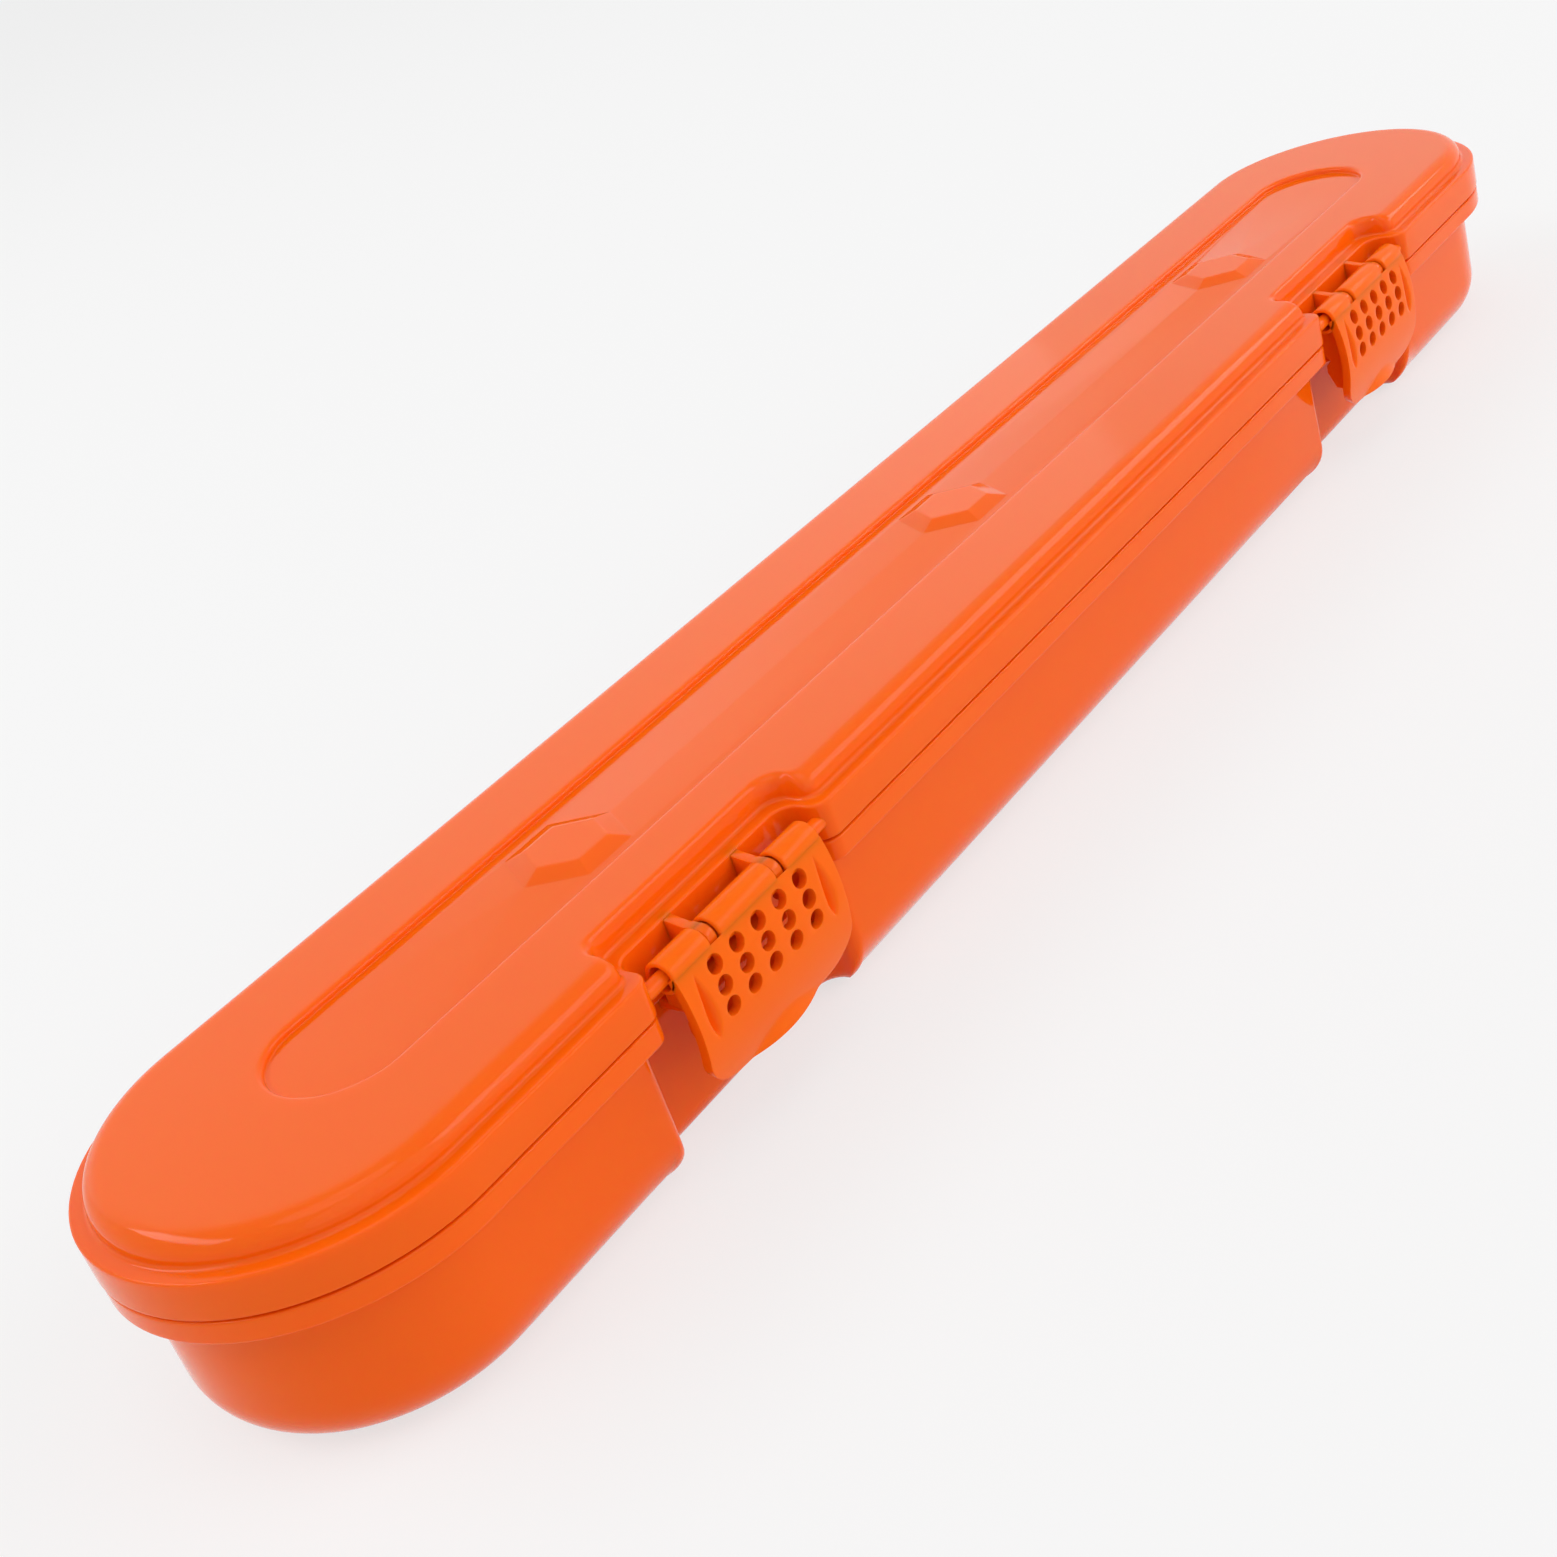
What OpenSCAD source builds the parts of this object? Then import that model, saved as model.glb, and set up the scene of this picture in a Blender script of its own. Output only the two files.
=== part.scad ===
// Long storage box with a clam-shell lid and two snap latches.
// +X runs along the box, the latches face -Y, the lid hinges along +Y, +Z is up.
// The origin is under the middle of the box, on the surface it stands on.

/* [Box] */
// Length over the rim
box_l = 500; // [420:5:620]
// Width over the rim
box_w = 80; // [76:1:110]
// Wall thickness of base and lid
wall = 2; // [1.6:0.1:2.6]

/* [Base] */
// Height of the base, up to the top of its rim
base_h = 36; // [32:1:60]
// How far the base wall stands in from the rim
base_inset = 4.7; // [4.2:0.1:6]
// Radius along the bottom edge
bottom_r = 12; // [8:0.5:14]
// Height of the band round the base rim
base_rim_h = 4.5; // [4:0.5:7]
// Setback of the base rim behind the lid rim
rim_setback = 0.2; // [0:0.1:0.4]
// Thickness of the sealing tongue
tongue_t = 1.8; // [1.2:0.1:2]
// Gap between the tongue and the lid skirt
tongue_gap = 0.6; // [0.5:0.1:0.8]

/* [Lid] */
// Visible gap between the two rims
parting_gap = 0.6; // [0.4:0.1:1]
// Height of the lid's rim band
lid_rim_h = 7.5; // [7.5:0.5:11]
// Height of the crown above the rim band
crown_h = 4.9; // [4.5:0.1:12]
// How far the crown wall stands in from the rim
crown_inset = 3.3; // [3:0.1:5]
// Radius along the top edge of the crown
crown_r = 2.2; // [1:0.1:2.6]
// Radius along the shoulder of the rim band
shoulder_r = 1.2; // [0.6:0.1:1.8]
// Radius in the corner between ledge and crown
ledge_r = 1.2; // [0.6:0.1:1.6]

/* [Top panel] */
// Length of the sunk panel
panel_l = 426; // [300:2:440]
// Width of the sunk panel
panel_w = 31; // [27:0.5:40]
// Depth of the sunk panel
panel_depth = 1.5; // [0.8:0.1:2]
// Width across the flats of each hexagonal boss
boss_flats = 21.6; // [12:0.2:25]
// Height of each boss above the panel
boss_h = 1.5; // [0.6:0.1:2.5]
// Width of the slope round each boss
boss_slope = 3.6; // [1:0.1:4.5]

/* [Latch bays] */
// Distance of each latch from the middle of the box
latch_x = 138.4; // [110:0.2:150]
// Width of each bay at the rim
bay_w = 50.6; // [50:0.2:60]
// Depth of each bay
bay_depth = 9; // [9:0.5:11]
// Radius at the mouth of each bay
mouth_r = 3.5; // [2.5:0.1:3.8]
// Radius in the deep corners of each bay
deep_r = 4; // [3:0.1:4.4]
// Radius along the bottom edge inside each bay
bay_bottom_r = 5; // [3:0.5:7]

/* [Latches] */
// Width of a latch
latch_w = 44; // [40:1:46]
// Thickness of the latch plate
latch_t = 2; // [1.6:0.1:2.2]
// Radius of the bowed front of a latch
latch_face_r = 38; // [34:1:44]
// Drop of the latch's lower edge below the lid
latch_drop = 22.4; // [20:0.2:26]
// Drop of the middle of the bow below the lid
bow_drop = 7.3; // [6:0.1:9]
// How far the front of the latch stands proud of the rim
latch_proud = 2.7; // [2.5:0.1:3.5]
// Radius of the lower corners
latch_corner_r = 7.5; // [3:0.5:8]
// Radius of the hinge barrel
barrel_r = 3.4; // [3:0.1:3.8]
// How far the hinge barrel stands proud of the bowed front
barrel_proud = 0.12; // [0.1:0.02:0.4]
// Height of the latch pin above the lid's lower edge
pin_rise = 3.5; // [3.5:0.1:4.2]
// Radius of the latch pin
latch_pin_r = 1.5; // [1.2:0.1:1.8]
// Grip holes in a row
grip_columns = 5; // [3:1:6]
// Rows of grip holes
grip_rows = 3; // [1:1:3]
// Spacing of the grip holes along a row
grip_pitch = 6.44; // [5:0.1:6.8]
// Spacing of the rows
row_pitch = 4.4; // [4.1:0.1:4.8]
// Diameter of a grip hole
grip_d = 3.7; // [2:0.1:4]
// Distance of each ear from the middle of the latch
ear_x = 10; // [8:0.5:12]
// Thickness of the ears that carry the pin
ear_t = 2.2; // [1.8:0.1:3]
// Thickness of the webs and the nose behind a latch
web_t = 1.8; // [1.2:0.1:2.4]
// How deep the latch pin sits in the sides of its bay
pin_seat = 1.6; // [1:0.1:1.8]
// Width of the finger lip on a latch's lower edge
lip_w = 22; // [14:1:28]
// How far the finger lip stands out of the bow
lip_reach = 2.2; // [1.4:0.1:2.6]

/* [Rear hinges] */
// Distance of the outer hinges from the middle
hinge_x = 165; // [120:5:185]
// Width of one hinge
hinge_w = 36; // [28:1:50]
// Width of each base knuckle
base_knuckle_w = 8; // [6:0.5:10]
// Radius of the hinge knuckles
knuckle_r = 3; // [2.6:0.1:3.6]
// Radius of the hinge pin
hinge_pin_r = 1.25; // [1:0.05:1.5]
// Angle at which the lid meets its stops
lid_stop = 120; // [100:1:130]

/* [Fits] */
// Radial clearance of a pin in the piece that turns on it
pin_play = 0.06; // [0.03:0.01:0.1]
// Side clearance between pieces that turn past each other
side_play = 0.4; // [0.3:0.1:0.8]
// Gap where one piece stops on another
seat_gap = 0.3; // [0.2:0.05:0.4]
// Gap between the top of the tongue and the lid
tongue_seat = 0.1; // [0.05:0.05:0.3]

/* [Hidden] */
$fn = 64;
// Overlap that joins two solids, and the reach of a cut past a face
join = 0.01;
over = 3;

half_l = box_l / 2;
half_w = box_w / 2;
end_x = half_l - half_w;
bay_half = bay_w / 2;
latch_places = [-latch_x, latch_x];
hinge_places = [-hinge_x, 0, hinge_x];

lid_z = base_h + parting_gap;
ledge_z = lid_z + lid_rim_h;
ledge_under = ledge_z - wall;
top_z = ledge_z + crown_h;
crown_in = crown_inset + wall;
// Extra radius in the deep corners of the crown's notch
notch_step = 1;
crown_deep_r = deep_r + notch_step;
panel_z = top_z - panel_depth;
panel_edge_r = panel_depth;

rim_under = base_h - base_rim_h;
rim_thinner = 0.4;
rim_t = wall - rim_thinner;
tongue_inset = wall + tongue_gap;
tongue_in = tongue_inset + tongue_t;
tongue_top = ledge_under - tongue_seat;
tongue_round = 2;
hollow_bay_r = bay_bottom_r - 1;
base_half = bay_half + wall;
hollow_half = base_half + wall;

latch_front_y = -(half_w + latch_proud);
latch_face_y = latch_front_y + latch_face_r;
latch_face_z = lid_z - bow_drop;
latch_back_r = latch_face_r - latch_t;
latch_bottom = lid_z - latch_drop;
pin_z = lid_z + pin_rise;
barrel_reach = latch_face_r - barrel_r + barrel_proud;
barrel_turn = asin((pin_z - latch_face_z) / barrel_reach);
pin_y = latch_face_y - barrel_reach * cos(barrel_turn);
plate_top = latch_face_z + latch_face_r * sin(barrel_turn);
pin_l = bay_w + 2 * pin_seat;
ear_wall = 1.2;
ear_r = latch_pin_r + ear_wall;
slot_r = ear_r + side_play;
// Height above the pin from which the slots are open to the front
slot_rise = 0.6;

// Back of the lid's rim in a bay, and the web of the latch in front of it
bay_back_y = -(half_w - bay_depth);
web_y = bay_back_y - seat_gap;
web_drop = 6.6;
web_z = lid_z - web_drop;
web_inset = 5;
web_x = (latch_w - web_t) / 2 - web_inset;
web_root = 1.4;
web_lean = 1;
web_foot = 6;
barrel_lip = 0.9;
// Catch on the base, and the latch's hook that lies in front of it
catch_reach = 2.5;
catch_drop = 1.4;
catch_y = web_y - catch_reach;
catch_top = web_z - catch_drop;
catch_t = 2.2;
catch_w = 2 * web_x - web_t - 2 * side_play;
hook_y = catch_y - seat_gap;
hook_z = catch_top - catch_t - seat_gap;
hook_t = 1.8;
hook_point = 1.2;
hook_lead = 0.6;
groove_depth = 0.8;
groove_w = 1.5;
groove_margin = 3.9;
groove_low = 2;
groove_high = 9.2;
groove_x = latch_w / 2 - groove_margin;
// Middle of the top row of grip holes, below the pin
grip_drop = 2.7;
// Cone whose front is the finger lip, and the arc of the lower edge
lip_h = 5.5;
lip_taper = 0.7;
lip_r = (pow(lip_w / 2, 2) + pow(lip_reach, 2)) / (2 * lip_reach);
lip_root_y = latch_face_y - sqrt(pow(latch_face_r, 2) - pow(latch_face_z - latch_bottom, 2));
lower_arc_r = 4 * latch_w;

hinge_y = half_w + knuckle_r;
hinge_z = base_h + parting_gap / 2;
knuckle_clear = knuckle_r + side_play;
lid_knuckle_w = hinge_w - 2 * (base_knuckle_w + side_play);
knuckle_x = (hinge_w - base_knuckle_w) / 2;
// Heel on each base knuckle, whose corner meets the lid's rim at the stop
heel_h = knuckle_r / 2;
heel_y = (knuckle_r - heel_h * sin(lid_stop)) / -cos(lid_stop);

shell_orange = [0.93, 0.32, 0.09];
latch_orange = [0.95, 0.38, 0.11];
pin_steel = [0.72, 0.73, 0.75];

// Plain stadium, set in from the rim
module stadium_block(length, width, z0, z1) {
    translate([-(length - width) / 2, -width / 2, z0])
        cube([length - width, width, z1 - z0]);
    for (side = [-1, 1])
        translate([side * (length - width) / 2, 0, z0])
            cylinder(r = width / 2, h = z1 - z0);
}

// Space taken out of the front by one latch bay
module bay_void(inset, z0, z1, half, mouth, deep) {
    front = -(half_w - inset);
    back = front + bay_depth;
    tall = z1 - z0;
    translate([-half, front - over, z0])
        cube([2 * half, bay_depth + over - deep, tall]);
    translate([deep - half, front - over, z0])
        cube([2 * (half - deep), bay_depth + over, tall]);
    for (side = [-1, 1]) {
        translate([side * (half - deep), back - deep, z0])
            cylinder(r = deep, h = tall);
        difference() {
            translate([side > 0 ? half - join : -half - mouth, front - over, z0])
                cube([mouth + join, mouth + over, tall]);
            translate([side * (half + mouth), front + mouth, z0 - join])
                cylinder(r = mouth, h = tall + 2 * join);
        }
    }
}

// Solid of the box outline, set in by a distance, with its two bays
module outline_block(inset, z0, z1, half, mouth, deep) {
    difference() {
        stadium_block(box_l - 2 * inset, box_w - 2 * inset, z0, z1);
        for (x = latch_places)
            translate([x, 0, 0])
                bay_void(inset, z0 - 1, z1 + 1, half, mouth, deep);
    }
}

// Sweep a profile round the two ends and along the back; u runs inwards from the outline
module along_ends_and_back(inset) {
    w = half_w - inset;
    for (side = [0, 180])
        rotate([0, 0, side])
            translate([end_x, 0, 0])
                rotate([0, 0, -90])
                    rotate_extrude(angle = 180)
                        translate([w, 0])
                            mirror([1, 0])
                                children();
    translate([-end_x, 0, 0])
        rotate([90, 0, 90])
            linear_extrude(height = 2 * end_x)
                translate([w, 0])
                    mirror([1, 0])
                        children();
}

// Sweep a profile along one straight of the front
module along_front(inset, x0, x1) {
    translate([x0, 0, 0])
        rotate([90, 0, 90])
            linear_extrude(height = x1 - x0)
                translate([-(half_w - inset), 0])
                    children();
}

// Sweep a profile round the deep part of one bay
module along_bay_floor(inset, half, deep) {
    back = -(half_w - inset - bay_depth);
    translate([deep - half, 0, 0])
        rotate([90, 0, 90])
            linear_extrude(height = 2 * (half - deep))
                translate([back, 0])
                    children();
    for (side = [0, 1])
        mirror([side, 0, 0])
            translate([half - deep, back - deep, 0])
                rotate_extrude(angle = 90)
                    translate([deep, 0])
                        children();
}

// Sweep a profile along the sides and round the mouth of one bay
module along_bay_sides(inset, half, mouth, deep) {
    front = -(half_w - inset);
    for (side = [0, 1])
        mirror([side, 0, 0]) {
            translate([0, front + mouth, 0])
                rotate([90, 0, 180])
                    mirror([1, 0, 0])
                        linear_extrude(height = bay_depth - mouth - deep)
                            translate([half, 0])
                                children();
            translate([half + mouth, front + mouth, 0])
                rotate([0, 0, 180])
                    rotate_extrude(angle = 90)
                        translate([mouth, 0])
                            mirror([1, 0])
                                children();
        }
}

// Sweep a profile round the whole outline
module along_outline(inset, half, mouth, deep) {
    along_ends_and_back(inset) children();
    along_front(inset, -end_x, -latch_x - half - mouth) children();
    along_front(inset, -latch_x + half + mouth, latch_x - half - mouth) children();
    along_front(inset, latch_x + half + mouth, end_x) children();
    for (x = latch_places)
        translate([x, 0, 0]) {
            along_bay_floor(inset, half, deep) children();
            along_bay_sides(inset, half, mouth, deep) children();
        }
}

// What a rounding of radius r takes off an upper edge at height z
module upper_edge_cut(r, z) {
    difference() {
        translate([-1, z - r])
            square([r + 1, r + 1]);
        translate([r, z - r])
            circle(r);
    }
}

// What a rounding of radius r takes off a lower edge at height 0
module lower_edge_cut(r) {
    difference() {
        translate([-1, -1])
            square([r + 1, r + 1]);
        translate([r, r])
            circle(r);
    }
}

// What a fillet of radius r adds at the foot of a wall standing on height z
module foot_fillet(r, z) {
    difference() {
        translate([-r, z - join])
            square([r + 0.2, r]);
        translate([-r, z + r])
            circle(r);
    }
}

// Cylinder along X, centred on x
module bar(x, y, z, r, w) {
    translate([x - w / 2, y, z])
        rotate([0, 90, 0])
            cylinder(r = r, h = w);
}

// Rounds the lower edge of the base; the bays have a tighter radius
module base_edge_cut(inset, half, round_r, bay_r) {
    along_ends_and_back(inset)
        lower_edge_cut(round_r);
    along_front(inset, -end_x, end_x)
        lower_edge_cut(round_r);
    for (x = latch_places)
        translate([x, 0, 0])
            along_bay_floor(inset, half, deep_r)
                lower_edge_cut(bay_r);
}

// Outer form of the base, below its rim
module base_body() {
    difference() {
        outline_block(base_inset, 0, base_h, base_half, mouth_r, deep_r);
        base_edge_cut(base_inset, base_half, bottom_r, bay_bottom_r);
    }
}

// Hollow of the base
module base_hollow() {
    difference() {
        outline_block(base_inset + wall, wall, tongue_top + 1, hollow_half, mouth_r, deep_r);
        translate([0, 0, wall])
            base_edge_cut(base_inset + wall, hollow_half, bottom_r - wall, hollow_bay_r);
    }
}

// Rim of the base: a flange, a band that hangs from its edge, and the tongue on top
module base_rim() {
    band_in = rim_setback + rim_t;
    difference() {
        outline_block(rim_setback, rim_under, base_h, bay_half + rim_setback, mouth_r, deep_r);
        difference() {
            outline_block(band_in, rim_under - 1, base_h - wall,
                          bay_half + band_in, mouth_r - rim_t, deep_r + rim_t);
            outline_block(base_inset, rim_under - 2, base_h, base_half, mouth_r, deep_r);
        }
    }
    difference() {
        outline_block(tongue_inset, base_h - join, tongue_top,
                      bay_half + tongue_inset, mouth_r - tongue_round, deep_r + tongue_round);
        outline_block(tongue_in, base_h - 1, tongue_top + 1,
                      bay_half + tongue_in, mouth_r - tongue_round, deep_r + tongue_round);
    }
}

// Ledge inside a bay that the latch's hook snaps over
module catch(x) {
    translate([x - catch_w / 2, catch_y, catch_top - catch_t])
        cube([catch_w, bay_back_y + base_inset + wall / 2 - catch_y, catch_t]);
}

// Knuckle that stands out from the back of a rim, with its web between two heights
module knuckle(x, w, web_z0, web_z1) {
    bar(x, hinge_y, hinge_z, knuckle_r, w);
    translate([x - w / 2, half_w - wall / 2, web_z0])
        cube([w, knuckle_r + wall / 2, web_z1 - web_z0]);
}

module base_knuckles() {
    for (x = hinge_places, side = [-1, 1]) {
        knuckle(x + side * knuckle_x, base_knuckle_w, hinge_z - knuckle_r, hinge_z);
        translate([x + side * knuckle_x - base_knuckle_w / 2, hinge_y, hinge_z - knuckle_r])
            cube([base_knuckle_w, heel_y, knuckle_r + heel_h]);
    }
}

module base() {
    color(shell_orange)
        difference() {
            union() {
                base_body();
                base_rim();
                base_knuckles();
                for (x = latch_places)
                    catch(x);
            }
            base_hollow();
            for (x = hinge_places) {
                bar(x, hinge_y, hinge_z, hinge_pin_r, hinge_w + 1);
                bar(x, hinge_y, hinge_z, knuckle_clear, lid_knuckle_w + 2 * side_play);
            }
        }
}

// Outer form of the lid: the rim band with its shoulder, and the crown on its ledge
module lid_body() {
    crown_half = bay_half + crown_inset;
    difference() {
        union() {
            difference() {
                outline_block(0, lid_z, ledge_z, bay_half, mouth_r, deep_r);
                along_outline(0, bay_half, mouth_r, deep_r)
                    upper_edge_cut(shoulder_r, ledge_z);
            }
            outline_block(crown_inset, lid_z, top_z, crown_half, mouth_r, crown_deep_r);
            along_outline(crown_inset, crown_half, mouth_r, crown_deep_r)
                foot_fillet(ledge_r, ledge_z);
        }
        along_outline(crown_inset, crown_half, mouth_r, crown_deep_r)
            upper_edge_cut(crown_r, top_z);
    }
}

// Hollow of the lid: the space in the rim and in the crown, less the panel's underside
module lid_hollow() {
    inner_mouth_r = mouth_r / 2;
    outline_block(wall, lid_z - 1, ledge_under, bay_half + wall, inner_mouth_r, deep_r + wall);
    difference() {
        outline_block(crown_in, lid_z - 1, top_z - wall, bay_half + crown_in,
                      inner_mouth_r, crown_deep_r + wall);
        stadium_block(panel_l + 2 * wall, panel_w + 2 * wall, panel_z - wall, top_z);
    }
}

// Section of the panel's rounded edge
module panel_edge() {
    difference() {
        translate([-join, panel_z])
            square([panel_edge_r + join, panel_depth + 1]);
        translate([panel_edge_r, panel_z])
            circle(panel_edge_r);
    }
}

// Sunk panel with a rounded upper edge
module panel_cut() {
    inner_l = panel_l - 2 * panel_edge_r;
    inner_w = panel_w - 2 * panel_edge_r;
    stadium_block(inner_l, inner_w, panel_z, top_z + 1);
    for (side = [0, 180])
        rotate([0, 0, side]) {
            translate([(inner_l - inner_w) / 2, 0, 0])
                rotate([0, 0, -90])
                    rotate_extrude(angle = 180)
                        translate([inner_w / 2, 0])
                            panel_edge();
            translate([-(inner_l - inner_w) / 2, 0, 0])
                rotate([90, 0, 90])
                    linear_extrude(height = inner_l - inner_w)
                        translate([inner_w / 2, 0])
                            panel_edge();
        }
}

// Hexagonal boss with sloping sides
module hex_boss() {
    reach = 2 * boss_flats;
    difference() {
        translate([0, 0, panel_z - wall / 2])
            cylinder(r = boss_flats, h = boss_h + wall / 2, $fn = 6);
        for (turn = [30 : 60 : 330])
            rotate([0, 0, turn])
                translate([boss_flats / 2, 0, panel_z])
                    rotate([0, -atan2(boss_slope, boss_h), 0])
                        translate([0, -reach, -reach])
                            cube([reach, 2 * reach, 2 * reach]);
    }
}

// Ear that carries a latch pin
module ear(x) {
    bar(x, pin_y, pin_z, ear_r, ear_t);
    across(x, ear_t)
        polygon([
            [pin_y, pin_z - ear_r],
            [bay_back_y + wall / 2, pin_z - ear_r],
            [bay_back_y + wall / 2, ledge_under],
            [bay_back_y + shoulder_r, ledge_z - join],
            [pin_y + ear_r, pin_z + ear_r],
            [pin_y, pin_z + ear_r]
        ]);
}

module lid() {
    color(shell_orange)
        difference() {
            union() {
                difference() {
                    union() {
                        lid_body();
                        for (x = hinge_places)
                            knuckle(x, lid_knuckle_w, hinge_z, hinge_z + knuckle_r);
                    }
                    lid_hollow();
                    panel_cut();
                }
                for (x = [-latch_x, 0, latch_x])
                    translate([x, 0, 0])
                        hex_boss();
                for (x = latch_places, side = [-1, 1])
                    ear(x + side * ear_x);
            }
            for (x = latch_places)
                bar(x, pin_y, pin_z, latch_pin_r, pin_l);
            for (x = hinge_places) {
                bar(x, hinge_y, hinge_z, hinge_pin_r + pin_play, hinge_w);
                for (side = [-1, 1])
                    bar(x + side * knuckle_x, hinge_y, hinge_z, knuckle_clear,
                        base_knuckle_w + 2 * side_play);
            }
        }
}

// Extrudes a profile drawn in Y and Z along X, centred on x
module across(x, w) {
    translate([x - w / 2, 0, 0])
        rotate([90, 0, 90])
            linear_extrude(height = w)
                children();
}

// Circle round the middle of the bow, drawn in Y and Z
module bow_circle(r) {
    translate([latch_face_y, latch_face_z])
        circle(r);
}

// Bowed plate of a latch, with its hinge barrel
module latch_plate() {
    across(0, latch_w + 2) {
        intersection() {
            difference() {
                bow_circle(latch_face_r);
                bow_circle(latch_back_r);
            }
            translate([latch_front_y - 1, latch_bottom - 1])
                square([latch_face_r, plate_top - latch_bottom + 1]);
        }
        translate([pin_y, pin_z])
            circle(barrel_r);
    }
}

// Lip that a finger lifts, in the middle of the lower edge
module finger_lip() {
    difference() {
        intersection() {
            translate([0, lip_root_y - lip_reach + lip_r, latch_bottom - 1])
                cylinder(r1 = lip_r, r2 = lip_r - lip_taper, h = lip_h + 1);
            translate([-lip_w, latch_front_y - 1, latch_bottom - 2])
                cube([2 * lip_w, lip_root_y + latch_t / 2 - latch_front_y + 1, lip_h + 4]);
        }
        across(0, 3 * lip_w)
            bow_circle(latch_back_r + latch_t / 4);
    }
}

// Outline of a latch seen from the front, with a curved lower edge and round corners
module latch_outline() {
    r = latch_corner_r;
    tall = pin_z + barrel_r + 1 - latch_bottom;
    translate([0, web_y + 1, latch_bottom])
        rotate([90, 0, 0])
            linear_extrude(height = web_y + 3 - latch_front_y)
                intersection() {
                    union() {
                        translate([-latch_w / 2, r])
                            square([latch_w, tall - r]);
                        translate([r - latch_w / 2, 0])
                            square([latch_w - 2 * r, tall]);
                        for (side = [-1, 1])
                            translate([side * (latch_w / 2 - r), r])
                                circle(r);
                    }
                    translate([0, lower_arc_r])
                        circle(lower_arc_r, $fn = 256);
                }
}

// Slots that let a latch swing past the ears
module ear_slots() {
    slot_w = ear_t + 2 * side_play;
    for (side = [-1, 1]) {
        bar(side * ear_x, pin_y, pin_z, slot_r, slot_w);
        translate([side * ear_x - slot_w / 2, pin_y, pin_z - slot_r])
            cube([slot_w, 2 * slot_r, 2 * slot_r]);
        translate([side * ear_x - slot_w / 2, pin_y - 2 * slot_r, pin_z + slot_rise])
            cube([slot_w, 3 * slot_r, 2 * slot_r]);
    }
}

// Web behind each end of a latch, with the notch that passes the catch
module latch_web(x) {
    root_y = latch_front_y + web_root;
    across(x, web_t)
        polygon([
            [pin_y, pin_z],
            [web_y, pin_z - latch_pin_r],
            [web_y, web_z],
            [hook_y, catch_top + hook_lead],
            [hook_y - hook_point, catch_top - catch_t / 2],
            [hook_y, hook_z],
            [hook_y, hook_z - hook_t],
            [hook_y - hook_t, latch_bottom + web_foot],
            [root_y + web_lean, latch_bottom + web_foot - web_lean],
            [root_y, latch_face_z],
            [root_y + web_lean / 2, pin_z]
        ]);
}

// Hook that lies in front of the catch, from web to web
module latch_hook() {
    root_y = latch_front_y + web_root;
    translate([-web_x, root_y, hook_z - hook_t])
        cube([2 * web_x, hook_y - root_y, hook_t]);
}

// Grip holes, square to the bowed face
module grip_holes() {
    row_turn = row_pitch / latch_face_r * 180 / PI;
    top_turn = asin((pin_z - grip_drop - latch_face_z) / latch_face_r);
    for (row = [0 : grip_rows - 1], column = [0 : grip_columns - 1])
        translate([(column - (grip_columns - 1) / 2) * grip_pitch, latch_face_y, latch_face_z])
            rotate([90 - top_turn + row * row_turn, 0, 0])
                translate([0, 0, latch_back_r - 1])
                    cylinder(d = grip_d, h = latch_t + 2);
}

// Groove beside each edge of a latch, pointed at its upper end
module side_grooves() {
    for (side = [0, 1])
        mirror([side, 0, 0])
            difference() {
                translate([groove_x, latch_front_y + over, 0])
                    rotate([90, 0, 0])
                        linear_extrude(height = over + 1)
                            polygon([
                                [-groove_w / 2, latch_face_z - groove_low],
                                [groove_w / 2, latch_face_z - groove_low],
                                [groove_w / 4, latch_face_z + groove_high]
                            ]);
                bar(groove_x, latch_face_y, latch_face_z, latch_face_r - groove_depth, over);
            }
}

module latch(x) {
    color(latch_orange)
        translate([x, 0, 0])
            difference() {
                union() {
                    intersection() {
                        union() {
                            latch_plate();
                            finger_lip();
                        }
                        latch_outline();
                    }
                    latch_web(-web_x);
                    latch_web(web_x);
                    latch_hook();
                }
                bar(0, pin_y, pin_z, latch_pin_r + pin_play, latch_w + 2);
                for (side = [-1, 1])
                    bar(side * latch_w / 2, pin_y, pin_z, barrel_r - barrel_lip, 2 * web_inset);
                ear_slots();
                grip_holes();
                side_grooves();
            }
}

module latch_pin(x) {
    color(latch_orange)
        bar(x, pin_y, pin_z, latch_pin_r, pin_l);
}

module hinge_pin(x) {
    color(pin_steel)
        bar(x, hinge_y, hinge_z, hinge_pin_r, hinge_w);
}

base();
lid();
latch(-latch_x);  // latch_left
latch(latch_x);  // latch_right
latch_pin(-latch_x);  // latch_pin_left
latch_pin(latch_x);  // latch_pin_right
hinge_pin(-hinge_x);  // hinge_pin_left
hinge_pin(0);  // hinge_pin_middle
hinge_pin(hinge_x);  // hinge_pin_right
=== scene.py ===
"""Long storage box with rounded ends, a hinged lid and two snap latches.

Sizes are in millimetres and each finished piece is scaled to metres. +X runs along the box, the
latches face -Y, the hinges lie along +Y, +Z is up, and the origin is under the middle of the box.
"""

import logging
import math
from dataclasses import dataclass, field
from enum import Enum
from typing import Iterable, Sequence

import bmesh
import bpy
from mathutils import Matrix, Vector

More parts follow.
